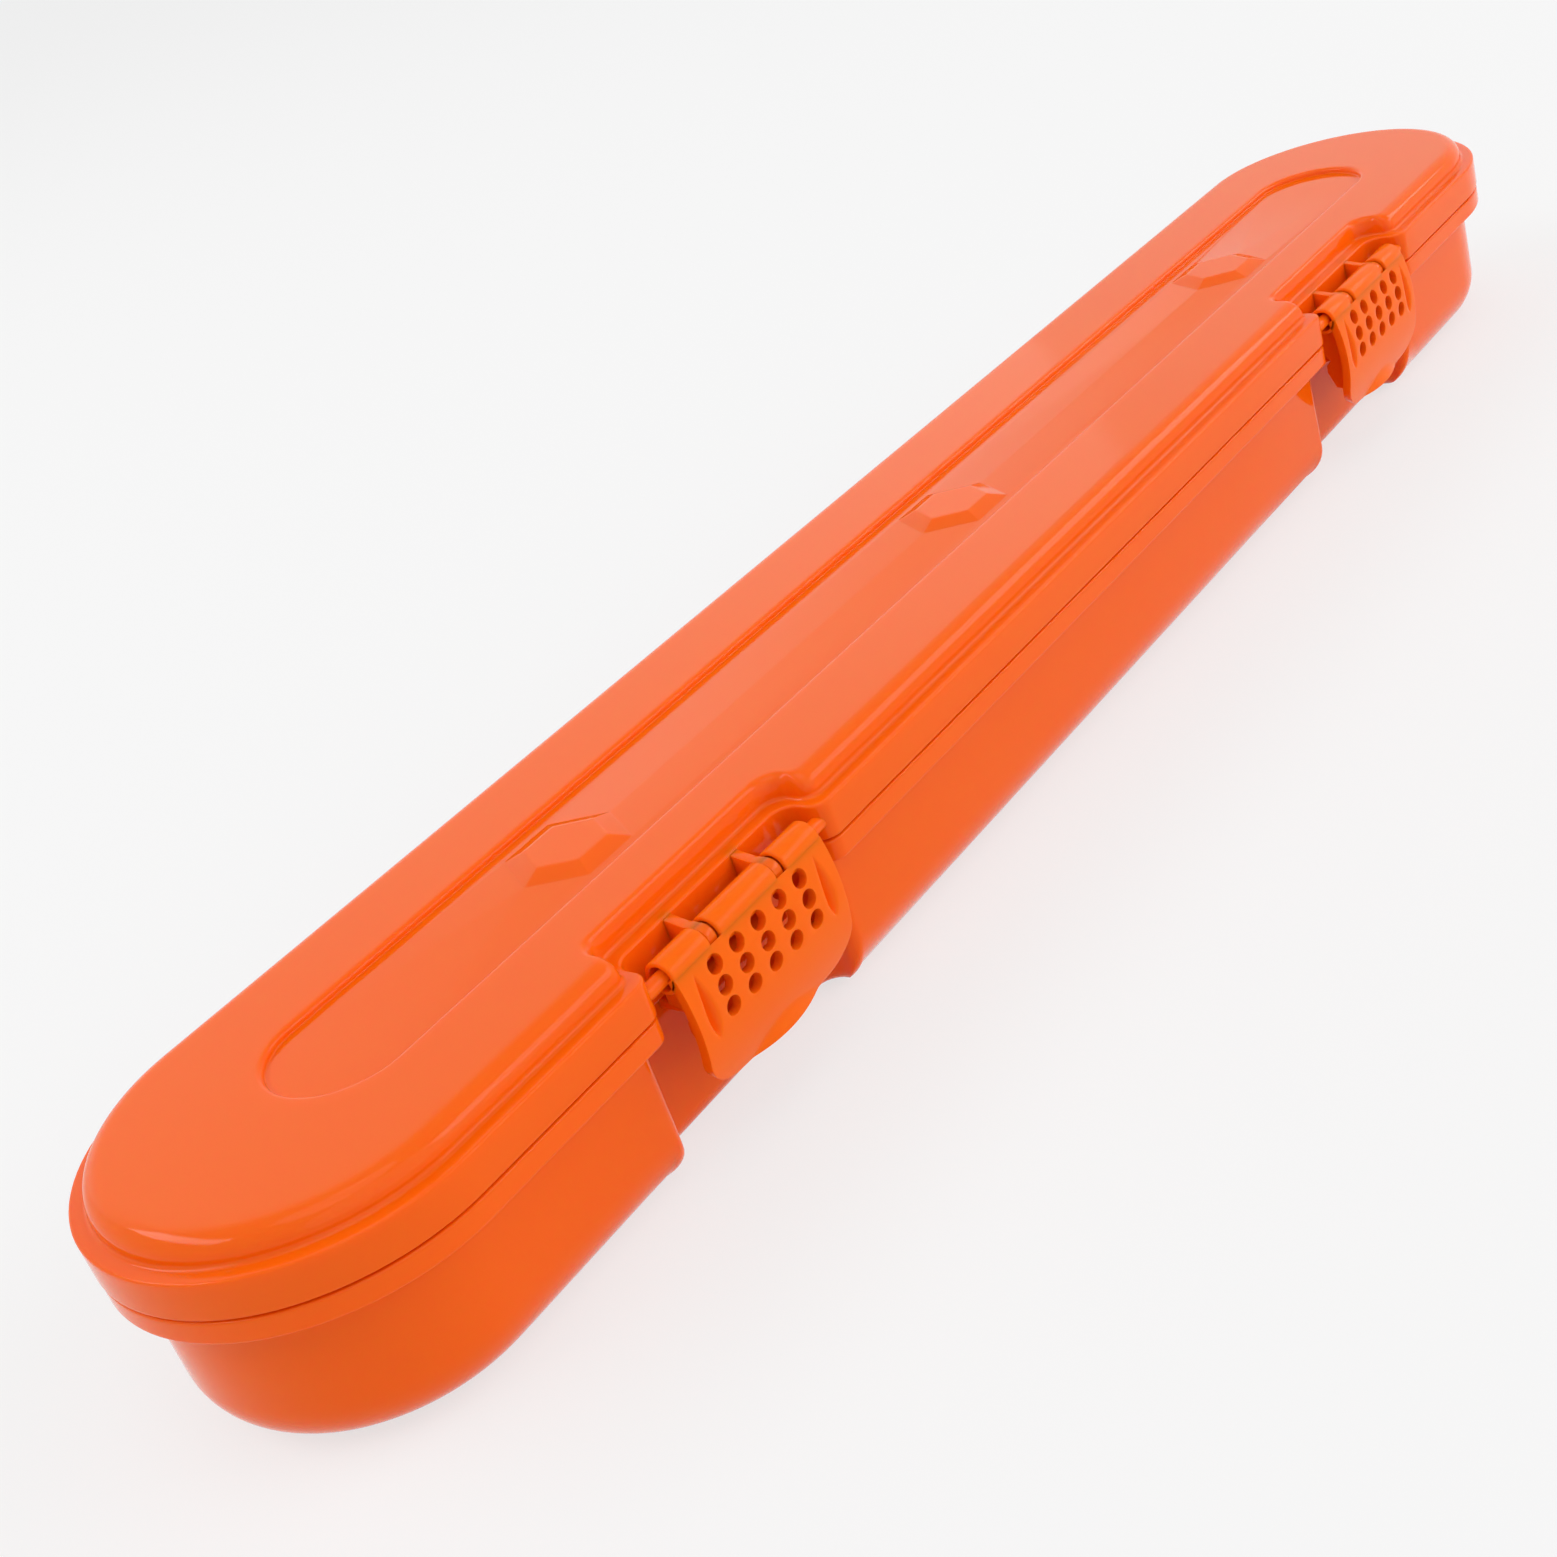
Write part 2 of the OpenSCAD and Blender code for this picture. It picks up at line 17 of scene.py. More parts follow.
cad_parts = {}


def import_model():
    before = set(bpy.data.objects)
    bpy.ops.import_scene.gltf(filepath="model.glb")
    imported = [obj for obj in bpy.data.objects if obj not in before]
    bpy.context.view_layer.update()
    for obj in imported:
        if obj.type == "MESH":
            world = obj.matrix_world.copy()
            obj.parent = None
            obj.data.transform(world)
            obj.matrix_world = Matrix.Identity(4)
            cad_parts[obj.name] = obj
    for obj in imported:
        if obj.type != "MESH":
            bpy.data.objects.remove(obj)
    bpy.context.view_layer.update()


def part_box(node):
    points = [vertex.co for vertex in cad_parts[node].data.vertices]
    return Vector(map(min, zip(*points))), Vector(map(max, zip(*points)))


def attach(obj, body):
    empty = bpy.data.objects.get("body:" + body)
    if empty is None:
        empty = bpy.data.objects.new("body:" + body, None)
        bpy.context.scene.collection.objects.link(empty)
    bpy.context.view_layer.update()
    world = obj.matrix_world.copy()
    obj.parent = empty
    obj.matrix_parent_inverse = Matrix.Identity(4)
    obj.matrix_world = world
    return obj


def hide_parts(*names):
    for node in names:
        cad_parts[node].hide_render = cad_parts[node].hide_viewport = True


LOG = logging.getLogger("storage_box")
MM = 0.001
MERGE = 0.0005
SIDES = (-1, 1)
NAMED_SIDES = (("left", -1), ("right", 1))
NOISE_RANGE = (0.3, 0.7)
Mesh = bmesh.types.BMesh
Edge = bmesh.types.BMEdge
Vert = bmesh.types.BMVert
Socket = bpy.types.NodeSocket
Pair = tuple[float, float]
Triple = tuple[float, float, float]
Section = list[Pair]
Input = float | Sequence[float] | Socket


class Slot(Enum):
    """Material slots of the pieces."""

    SHELL = "shell"
    LATCH = "latch"
    LATCH_PIN = "latch_pin"
    HINGE_PIN = "hinge_pin"


@dataclass(frozen=True)
class Plastic:
    """Moulded plastic with a fine grain, soft cloudiness and a faint gloss variation.

    Attributes:
        name: Name of the material.
        colour: Base colour, linear.
        deep: Colour of the cloudier patches, linear.
        roughness: Mean roughness.
        spread: How far the roughness wanders.
        grain: Strength of the moulded grain.
        glow: Share of light that scatters under the surface.
        depth: How far that light goes, in metres.
        gloss: Specular level.
    """

    name: str
    colour: Triple
    deep: Triple
    roughness: float
    spread: float
    grain: float
    glow: float
    depth: float
    gloss: float

    def build(self) -> bpy.types.Material:
        """Make the material.

        Returns:
            The new material.
        """
        made = Surface(self.name)
        cloud = made.noise(scale=14.0, detail=2.0)
        tint = made.mix(made.remap(cloud, NOISE_RANGE, (0.0, 1.0)), self.colour, self.deep)
        smear = made.noise(scale=45.0, detail=2.0)
        rough = made.remap(smear, NOISE_RANGE, (self.roughness - self.spread, self.roughness + self.spread))
        fine = made.noise(scale=2600.0, detail=2.0)
        broad = made.noise(scale=24.0, detail=0.0)
        soft = made.bump(broad, strength=0.06, distance=0.0006)
        made.link(tint, "Base Color")
        made.link(rough, "Roughness")
        made.link(made.bump(fine, strength=self.grain, distance=0.00006, under=soft), "Normal")
        made.set("IOR", 1.49)
        made.set("Specular IOR Level", self.gloss)
        made.set("Subsurface Weight", self.glow)
        made.set("Subsurface Radius", (1.0, 0.2, 0.05))
        made.set("Subsurface Scale", self.depth)
        return made.material


@dataclass(frozen=True)
class Steel:
    """Drawn steel wire with fine lines along its length.

    Attributes:
        name: Name of the material.
        colour: Metal colour, linear.
        roughness: Mean roughness.
        smoother: How far the roughness falls below that.
        rougher: How far it rises above it.
    """

    name: str
    colour: Triple
    roughness: float
    smoother: float = 0.08
    rougher: float = 0.1

    def build(self) -> bpy.types.Material:
        """Make the material.

        Returns:
            The new material.
        """
        made = Surface(self.name)
        lines = made.noise(scale=900.0, detail=3.0, stretch=(0.04, 1.0, 1.0))
        spots = made.noise(scale=260.0, detail=2.0)
        darker = 0.8
        shade = tuple(channel * darker for channel in self.colour)
        rough = (self.roughness - self.smoother, self.roughness + self.rougher)
        made.link(made.mix(made.remap(spots, (0.4, 0.7), (0.0, 1.0)), self.colour, shade), "Base Color")
        made.link(made.remap(lines, NOISE_RANGE, rough), "Roughness")
        made.link(made.bump(lines, strength=0.3, distance=0.00003), "Normal")
        made.set("Metallic", 1.0)
        return made.material


class Nodes:
    """Node tree with short ways to add to it."""

    def __init__(self, tree: bpy.types.NodeTree) -> None:
        """Take up a node tree."""
        self.tree = tree

    def feed(self, node: bpy.types.Node, inputs: dict[str | int, Input]) -> None:
        """Set each input of a node, or link it to another node's output.

        Args:
            node: The node.
            inputs: What goes into each input, by the input's name or number.
        """
        for name, value in inputs.items():
            if isinstance(value, Socket):
                self.tree.links.new(value, node.inputs[name])
            else:
                node.inputs[name].default_value = value

    def add(self, kind: str, inputs: dict[str | int, Input], output: str) -> Socket:
        """Add a node.

        Args:
            kind: Its type.
            inputs: What goes into each input, by the input's name or number.
            output: Name of the output that is wanted.

        Returns:
            The output.
        """
        node = self.tree.nodes.new(kind)
        self.feed(node, inputs)
        return node.outputs[output]

    def combine(self, operation: str, first: Input, second: Input, kind: str = "ShaderNodeMath") -> Socket:
        """Combine two values, or two directions.

        Args:
            operation: What the node does with them.
            first: First value.
            second: Second value.
            kind: Type of the node.

        Returns:
            The result.
        """
        node = self.tree.nodes.new(kind)
        node.operation = operation
        self.feed(node, {0: first, 1: second})
        return node.outputs["Value"]

    def remap(self, value: Socket, old: Pair, new: tuple[Input, Input], smooth: bool = False) -> Socket:
        """Map a value from one range to another.

        Args:
            value: What is mapped.
            old: Ends of the range that it comes from.
            new: Results at those ends.
            smooth: Whether it eases in and out.

        Returns:
            The mapped value.
        """
        node = self.tree.nodes.new("ShaderNodeMapRange")
        node.interpolation_type = "SMOOTHSTEP" if smooth else "LINEAR"
        self.feed(node, {"Value": value, "From Min": old[0], "From Max": old[1], "To Min": new[0],
                         "To Max": new[1]})
        return node.outputs["Result"]

    def mix(self, share: Socket, first: Sequence[float], second: Sequence[float]) -> Socket:
        """Mix two colours.

        Args:
            share: Share of the second colour.
            first: First colour.
            second: Second colour.

        Returns:
            The mixed colour.
        """
        node = self.tree.nodes.new("ShaderNodeMix")
        node.data_type = "RGBA"
        self.feed(node, {"Factor": share, "A": (*first, 1.0), "B": (*second, 1.0)})
        return node.outputs["Result"]

    def seen(self) -> Socket:
        """Tell the rays that see the background from those that only light the box.

        Returns:
            One for rays from the camera, off gloss and through clear parts, otherwise nought.
        """
        path = self.tree.nodes.new("ShaderNodeLightPath")
        value = path.outputs["Is Camera Ray"]
        for name in ("Is Glossy Ray", "Is Transmission Ray"):
            value = self.combine("MAXIMUM", value, path.outputs[name])
        return value


class Surface(Nodes):
    """Node tree of one material, whose patterns read Object coordinates."""

    def __init__(self, name: str) -> None:
        """Start a material.

        Args:
            name: Name of the material.
        """
        self.material = bpy.data.materials.new(name)
        self.material.use_nodes = True
        super().__init__(self.material.node_tree)
        self.shader = self.tree.nodes["Principled BSDF"]

    def noise(self, scale: float, detail: float, stretch: Triple = (1.0, 1.0, 1.0)) -> Socket:
        """Add a noise.

        Args:
            scale: Features in a metre.
            detail: Octaves of the noise.
            stretch: Scale along each axis.

        Returns:
            The noise's value.
        """
        place = self.tree.nodes.new("ShaderNodeTexCoord").outputs["Object"]
        place = self.add("ShaderNodeMapping", {"Vector": place, "Scale": stretch}, "Vector")
        return self.add("ShaderNodeTexNoise", {"Vector": place, "Scale": scale, "Detail": detail}, "Fac")

    def bump(self, height: Socket, strength: float, distance: float, under: Socket | None = None) -> Socket:
        """Add a bump.

        Args:
            height: Height pattern.
            strength: Strength of the bump.
            distance: Height of the bump in metres.
            under: Bump that this one lies on.

        Returns:
            The bumped normal.
        """
        inputs = {"Height": height, "Strength": strength, "Distance": distance}
        if under is not None:
            inputs["Normal"] = under
        return self.add("ShaderNodeBump", inputs, "Normal")

    def link(self, value: Socket, name: str) -> None:
        """Link a value to the shader's socket of that name."""
        self.tree.links.new(value, self.shader.inputs[name])

    def set(self, name: str, value: float | Sequence[float]) -> None:
        """Set a constant on the shader's own socket."""
        self.shader.inputs[name].default_value = value


@dataclass(frozen=True)
class Case:
    """Sizes that the pieces share, in millimetres.

    Attributes:
        half_length: From the middle to the end of the rim.
        half_width: From the middle to the front of the rim.
        lid_top: Height of the crown.
        wall: Wall thickness.
        base_top: Height of the base's rim.
        lid_bottom: Height of the lid's lower edge.
        ledge: Height of the ledge round the crown.
        latch_x: Distance of each latch from the middle.
        bay_half: Half the width of a latch bay at the rim.
        bay_depth: Depth of a bay.
        mouth: Radius at the mouth of a bay.
        deep: Radius in the deep corners of a bay.
        pin_y: Latch pin, from the middle.
        pin_z: Height of the latch pin.
        pin_r: Radius of the latch pin.
        ear_x: Distance of each ear from the middle of its latch.
        hinge_y: Lid hinge, from the middle.
        hinge_z: Height of the lid hinge.
        hinge_places: Middle of each hinge along the box.
        knuckle_r: Outer radius of the hinge knuckles.
        knuckle_root: How far their arms reach in from the rim.
        knuckle_clear: How far their arms end before the hinge's axis.
        knuckle_gap: Half the gap between the arms of the base and the lid.
    """

    half_length: float
    half_width: float
    lid_top: float
    wall: float = 2.0
    base_top: float = 36.0
    lid_bottom: float = 36.6
    ledge: float = 44.1
    latch_x: float = 138.4
    bay_half: float = 25.3
    bay_depth: float = 9.0
    mouth: float = 3.5
    deep: float = 4.0
    pin_y: float = -37.698
    pin_z: float = 40.1
    pin_r: float = 1.5
    ear_x: float = 10.0
    hinge_y: float = 43.0
    hinge_z: float = 36.3
    hinge_places: tuple[float, ...] = (-165.0, 0.0, 165.0)
    knuckle_r: float = 3.0
    knuckle_root: float = 1.2
    knuckle_clear: float = 1.6
    knuckle_gap: float = 0.1

    @classmethod
    def from_frame(cls) -> "Case":
        """Take the outer sizes from the CAD nodes.

        Returns:
            The sizes.
        """
        low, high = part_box("lid")
        hinge_reach = 6.0
        half_width = high.y / MM - hinge_reach
        return cls(half_length=(high.x - low.x) / MM / 2, half_width=half_width, lid_top=high.z / MM)

    @property
    def end_x(self) -> float:
        """Middle of each round end."""
        return self.half_length - self.half_width

    @property
    def latches(self) -> Pair:
        """Middle of each latch along the box."""
        return -self.latch_x, self.latch_x


@dataclass(frozen=True)
class Ring:
    """One ring of a shell, drawn at a distance inside the rim.

    Attributes:
        inset: Distance in from the rim along the ends, the back and the front.
        z: Height there.
        side: The same distance at the sides of a bay, inset if None.
        floor: The same distance at the back of a bay, inset if None.
        bay_z: Height inside a bay, z if None.
    """

    inset: float
    z: float
    side: float | None = None
    floor: float | None = None
    bay_z: float | None = None


@dataclass(frozen=True)
class Outline:
    """Outline of the box from above, with the same number of points for every ring.

    Attributes:
        case: Sizes of the box.
        end_steps: Steps round each end.
        back_steps: Steps along the back.
        front_steps: Steps along each straight part of the front.
        corner_steps: Steps round each corner of a bay.
        side_steps: Steps along each side of a bay.
        floor_steps: Steps along the back of a bay.
        least_mouth: Least radius at the mouth of a bay.
        mouth_loss: What that radius loses for each millimetre of inset.
        deep_gain: What the radius in the deep corners gains for it.
        most_depth: Most of a bay's depth that the two radii may fill.
    """

    case: Case
    end_steps: int = 56
    back_steps: int = 20
    front_steps: int = 6
    corner_steps: int = 8
    side_steps: int = 2
    floor_steps: int = 8
    least_mouth: float = 1.2
    mouth_loss: float = 0.3
    deep_gain: float = 0.45
    most_depth: float = 0.96

    def points(self, ring: Ring) -> list[Vector]:
        """Draw one ring.

        Args:
            ring: The ring to draw.

        Returns:
            Its points, anticlockwise from the front of the right end.
        """
        case = self.case
        side = ring.inset if ring.side is None else ring.side
        floor = ring.inset if ring.floor is None else ring.floor
        bay_z = ring.z if ring.bay_z is None else ring.bay_z
        front = ring.inset - case.half_width
        back = floor + case.bay_depth - case.half_width
        mouth = max(self.least_mouth, case.mouth - self.mouth_loss * side)
        deep = case.deep + self.deep_gain * side
        fit = min(1.0, self.most_depth * (back - front) / (mouth + deep))
        mouth, deep = mouth * fit, deep * fit
        half = case.bay_half + side
        inside = (1.0, 1.0)
        flat: list[Triple] = []

        def add(line: Section, bay: Pair = (0.0, 0.0)) -> None:
            """Add a line without its last point.

            Args:
                line: Points from above.
                bay: Share of the height inside a bay, at the line's start and at its end.
            """
            steps = len(line) - 1
            for step, (x, y) in enumerate(line[:-1]):
                flat.append((x, y, bay[0] + (bay[1] - bay[0]) * step / steps))

        add(bend(case.end_x, 0, -front, -90, 90, self.end_steps))
        add(straight((case.end_x, -front), (-case.end_x, -front), self.back_steps))
        add(bend(-case.end_x, 0, -front, 90, 270, self.end_steps))
        reached = -case.end_x
        for middle in case.latches:
            left, right = middle - half, middle + half
            add(straight((reached, front), (left - mouth, front), self.front_steps))
            add(bend(left - mouth, front + mouth, mouth, -90, 0, self.corner_steps), (0.0, 1.0))
            add(straight((left, front + mouth), (left, back - deep), self.side_steps), inside)
            add(bend(left + deep, back - deep, deep, 180, 90, self.corner_steps), inside)
            add(straight((left + deep, back), (right - deep, back), self.floor_steps), inside)
            add(bend(right - deep, back - deep, deep, 90, 0, self.corner_steps), inside)
            add(straight((right, back - deep), (right, front + mouth), self.side_steps), inside)
            add(bend(right + mouth, front + mouth, mouth, 180, 270, self.corner_steps), (1.0, 0.0))
            reached = right + mouth
        add(straight((reached, front), (case.end_x, front), self.front_steps))
        return [Vector((x, y, ring.z + (bay_z - ring.z) * weight)) for x, y, weight in flat]


def stadium(length: float, width: float, z: float, steps: int = 32) -> list[Vector]:
    """Draw a stadium along X.

    Args:
        length: Length over all.
        width: Width.
        z: Height.
        steps: Steps round each end.

    Returns:
        Its points, anticlockwise.
    """
    radius = width / 2
    reach = length / 2 - radius
    line = bend(reach, 0.0, radius, -90.0, 90.0, steps) + bend(-reach, 0.0, radius, 90.0, 270.0, steps)
    return [Vector((x, y, z)) for x, y in line]


def hexagon(x: float, flat: float, corner: float, z: float, steps: int = 4) -> list[Vector]:
    """Draw a hexagon with rounded corners and two corners along X.

    Args:
        x: Its middle.
        flat: Distance from the middle to each side.
        corner: Radius of the corners.
        z: Height.
        steps: Steps round each corner.

    Returns:
        Its points, anticlockwise.
    """
    reach = (flat - corner) / math.cos(math.radians(30))
    points = []
    for number in range(6):
        turn = math.radians(60 * number)
        middle = Vector((x + reach * math.cos(turn), reach * math.sin(turn), z))
        for step in range(steps + 1):
            lean = turn + math.radians(60 * step / steps - 30)
            points.append(middle + corner * Vector((math.cos(lean), math.sin(lean), 0)))
    return points


def bend(a: float, b: float, radius: float, start: float, end: float, steps: int = 4) -> Section:
    """Draw an arc in a plane: X and Y from above, and inset and height in a section.

    Args:
        a: First place of the arc's middle.
        b: Second place of the arc's middle.
        radius: Radius.
        start: First angle in degrees, from the first axis towards the second.
        end: Last angle in degrees.
        steps: Steps along the arc.

    Returns:
        The points of the arc.
    """
    turns = (math.radians(start + (end - start) * step / steps) for step in range(steps + 1))
    return [(a + radius * math.cos(turn), b + radius * math.sin(turn)) for turn in turns]


def straight(start: Pair, end: Pair, steps: int) -> Section:
    """Draw a straight line in a plane.

    Args:
        start: First point.
        end: Last point.
        steps: Steps along the line.

    Returns:
        The points of the line.
    """
    shares = [step / steps for step in range(steps + 1)]
    return [(start[0] + (end[0] - start[0]) * share, start[1] + (end[1] - start[1]) * share)
            for share in shares]


def added_verts(result: dict[str, list]) -> list[Vert]:
    """Pick the new vertices out of what an extrusion returns."""
    return [item for item in result["geom"] if isinstance(item, Vert)]


def soften(bm: Mesh, edges: Sequence[Edge], radius: float, segments: int) -> None:
    """Round edges off.

    Args:
        bm: The mesh.
        edges: The edges.
        radius: Distance from each edge to where its rounding starts.
        segments: Faces across each rounding.
    """
    bmesh.ops.bevel(bm, geom=edges, offset=radius, offset_type="OFFSET", segments=segments, profile=0.5,
                    affect="EDGES", clamp_overlap=True, material=-1)


def loop_edges(bm: Mesh, points: Sequence[Vector]) -> list[Edge]:
    """Add a closed loop of edges.

    Args:
        bm: The mesh.
        points: Points of the loop.

    Returns:
        The new edges.
    """
    verts = [bm.verts.new(point) for point in points]
    return [bm.edges.new(pair) for pair in zip(verts, verts[1:] + verts[:1])]


def grow(bm: Mesh, edges: list[Edge], before: Sequence[Vector], after: Sequence[Vector]) -> list[Edge]:
    """Extrude a loop and move each new point to its place in the next ring.

    Args:
        bm: The mesh.
        edges: Edges of the loop.
        before: Points of the loop.
        after: Points of the next ring, in the same order.

    Returns:
        The edges of the next ring.
    """
    targets = {tuple(round(value, 4) for value in old): new for old, new in zip(before, after)}
    fresh = added_verts(bmesh.ops.extrude_edge_only(bm, edges=edges))
    for vert in fresh:
        vert.co = targets[tuple(round(value, 4) for value in vert.co)]
    known = set(fresh)
    return [edge for edge in bm.edges if edge.verts[0] in known and edge.verts[1] in known]


def loft(bm: Mesh, rings: Sequence[Sequence[Vector]]) -> tuple[list[Edge], list[Edge]]:
    """Draw a skin through rings.

    Args:
        bm: The mesh.
        rings: Points of each ring.

    Returns:
        The edges of the first ring and of the last one.
    """
    first = loop_edges(bm, rings[0])
    last = first
    for before, after in zip(rings, rings[1:]):
        last = grow(bm, last, before, after)
    return first, last


def fill(bm: Mesh, *loops: Iterable[Edge]) -> None:
    """Close the flat space between loops of edges."""
    edges = [edge for loop in loops for edge in loop]
    bmesh.ops.triangle_fill(bm, edges=edges, use_beauty=True, use_dissolve=False)


def block(bm: Mesh, low: Sequence[float], high: Sequence[float], edge: float) -> None:
    """Add a block with rounded edges.

    Args:
        bm: The mesh.
        low: Lowest corner.
        high: Highest corner.
        edge: Radius of the edges.
    """
    verts = bmesh.ops.create_cube(bm, size=1.0)["verts"]
    size = [b - a for a, b in zip(low, high)]
    middle = [(a + b) / 2 for a, b in zip(low, high)]
    bmesh.ops.scale(bm, vec=size, verts=verts)
    bmesh.ops.translate(bm, vec=middle, verts=verts)
    soften(bm, list({item for vert in verts for item in vert.link_edges}), radius=edge, segments=3)


def plate(bm: Mesh, profile: Sequence[Pair], x: float, width: float, edge: float) -> None:
    """Add a plate across X from a profile in Y and Z, with rounded edges.

    Args:
        bm: The mesh.
        profile: Points of the profile.
        x: Middle of the plate.
        width: Thickness along X.
        edge: Radius of the edges.
    """
    verts = [bm.verts.new((x - width / 2, y, z)) for y, z in profile]
    face = bm.faces.new(verts)
    far = added_verts(bmesh.ops.extrude_face_region(bm, geom=[face]))
    bmesh.ops.translate(bm, vec=(width, 0, 0), verts=far)
    edges = list({item for vert in verts + far for item in vert.link_edges})
    bmesh.ops.recalc_face_normals(bm, faces=list({item for one in edges for item in one.link_faces}))
    soften(bm, edges, radius=edge, segments=2)


def lathe(bm: Mesh, profile: Sequence[Pair], y: float, z: float, closed: bool, steps: int = 48) -> None:
    """Turn a profile round an axis along X.

    Args:
        bm: The mesh.
        profile: Pairs of x and radius.
        y: Place of the axis.
        z: Height of the axis.
        closed: Whether the profile is a closed loop.
        steps: Steps of the full turn.
    """
    verts = [bm.verts.new((x, y, z + radius)) for x, radius in profile]
    pairs = list(zip(verts, verts[1:] + (verts[:1] if closed else [])))
    edges = [bm.edges.new(pair) for pair in pairs]
    bmesh.ops.spin(bm, geom=verts + edges, cent=(0, y, z), axis=(1, 0, 0), dvec=(0, 0, 0),
                   angle=2 * math.pi, steps=steps, use_merge=True, use_duplicate=False)


def bearing(bm: Mesh, x: float, width: float, y: float, z: float, radius: float, hole: float,
            edge: float = 0.3) -> None:
    """Add a ring that turns on a pin.

    Args:
        bm: The mesh.
        x: Middle of the ring.
        width: Width of the ring.
        y: Place of its axis.
        z: Height of its axis.
        radius: Outer radius.
        hole: Radius of the hole.
        edge: Radius of the outer edges.
    """
    half, chamfer = width / 2, 0.15
    right = [(half - edge + along, radius - edge + up) for along, up in bend(0, 0, edge, 0, 90, 3)]
    left = [(-along, up) for along, up in reversed(right)]
    bore = [(-half, hole + chamfer), (-half + chamfer, hole), (half - chamfer, hole), (half, hole + chamfer)]
    lathe(bm, [(x + along, up) for along, up in right + left + bore], y, z, closed=True)


def knuckle(bm: Mesh, case: Case, x: float, width: float, bore: float, side: int) -> None:
    """Add a knuckle of a lid hinge, with the arm that carries it.

    Args:
        bm: The mesh.
        case: Sizes of the box.
        x: Middle of the knuckle.
        width: Its width.
        bore: Radius of its hole.
        side: Side of the hinge's axis on which the arm lies, -1 below and 1 above.
    """
    y, z, half = case.hinge_y, case.hinge_z, width / 2
    low, high = sorted((z + side * case.knuckle_gap, z + side * case.knuckle_r))
    bearing(bm, x, width, y, z, case.knuckle_r, bore)
    root, tip = case.half_width - case.knuckle_root, y - case.knuckle_clear
    block(bm, (x - half, root, low), (x + half, tip, high), edge=0.3)


def add_object(name: str, data: bpy.types.ID) -> bpy.types.Object:
    """Put a new object in the scene.

    Args:
        name: Name of the object.
        data: Its mesh, lamp or camera.

    Returns:
        The object.
    """
    made = bpy.data.objects.new(name, data)
    bpy.context.scene.collection.objects.link(made)
    return made


@dataclass
class Piece:
    """A piece of the scene that replaces CAD nodes.

    Attributes:
        name: Name of the piece.
        body: CAD body that it rides on.
        slot: Material slot of the record.
        finish: Its material.
        sharp: Angle in degrees from which an edge is shaded as sharp.
        bm: Its mesh while it is made.
    """

    name: str
    body: str
    # slot: Material slot of the piece; not used.
    slot: Slot
    finish: bpy.types.Material
    sharp: float = 42.0
    bm: Mesh = field(default_factory=bmesh.new)

    def place(self, *nodes: str) -> None:
        """Finish the mesh and put it in the scene.

        Args:
            *nodes: CAD nodes that the piece stands for.
        """
        bm = self.bm
        bmesh.ops.remove_doubles(bm, verts=bm.verts, dist=MERGE)
        bmesh.ops.recalc_face_normals(bm, faces=bm.faces)
        bmesh.ops.scale(bm, vec=(MM, MM, MM), verts=bm.verts)
        mesh = bpy.data.meshes.new(self.name)
        bm.to_mesh(mesh)
        bm.free()
        mesh.polygons.foreach_set("use_smooth", [True] * len(mesh.polygons))
        mesh.set_sharp_from_angle(angle=math.radians(self.sharp))
        mesh.materials.append(self.finish)
        piece = add_object(self.name, mesh)
        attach(piece, self.body)
        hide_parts(*nodes)
        LOG.info("%s: %d faces", self.name, len(mesh.polygons))


def pin(bm: Mesh, x: float, length: float, y: float, z: float, radius: float) -> None:
    """Add a pin with softly domed ends.

    Args:
        bm: The mesh.
        x: Middle of the pin.
        length: Its length.
        y: Place of its axis.
        z: Height of its axis.
        radius: Its radius.
    """
    half = length / 2
    soft = radius / 3
    right = [(x + half - soft + along, radius - soft + up) for along, up in bend(0, 0, soft, 90, 0, 5)]
    left = [(2 * x - along, up) for along, up in reversed(right)]
    lathe(bm, [(x - half, 0.0), *left, *right, (x + half, 0.0)], y, z, closed=False, steps=40)


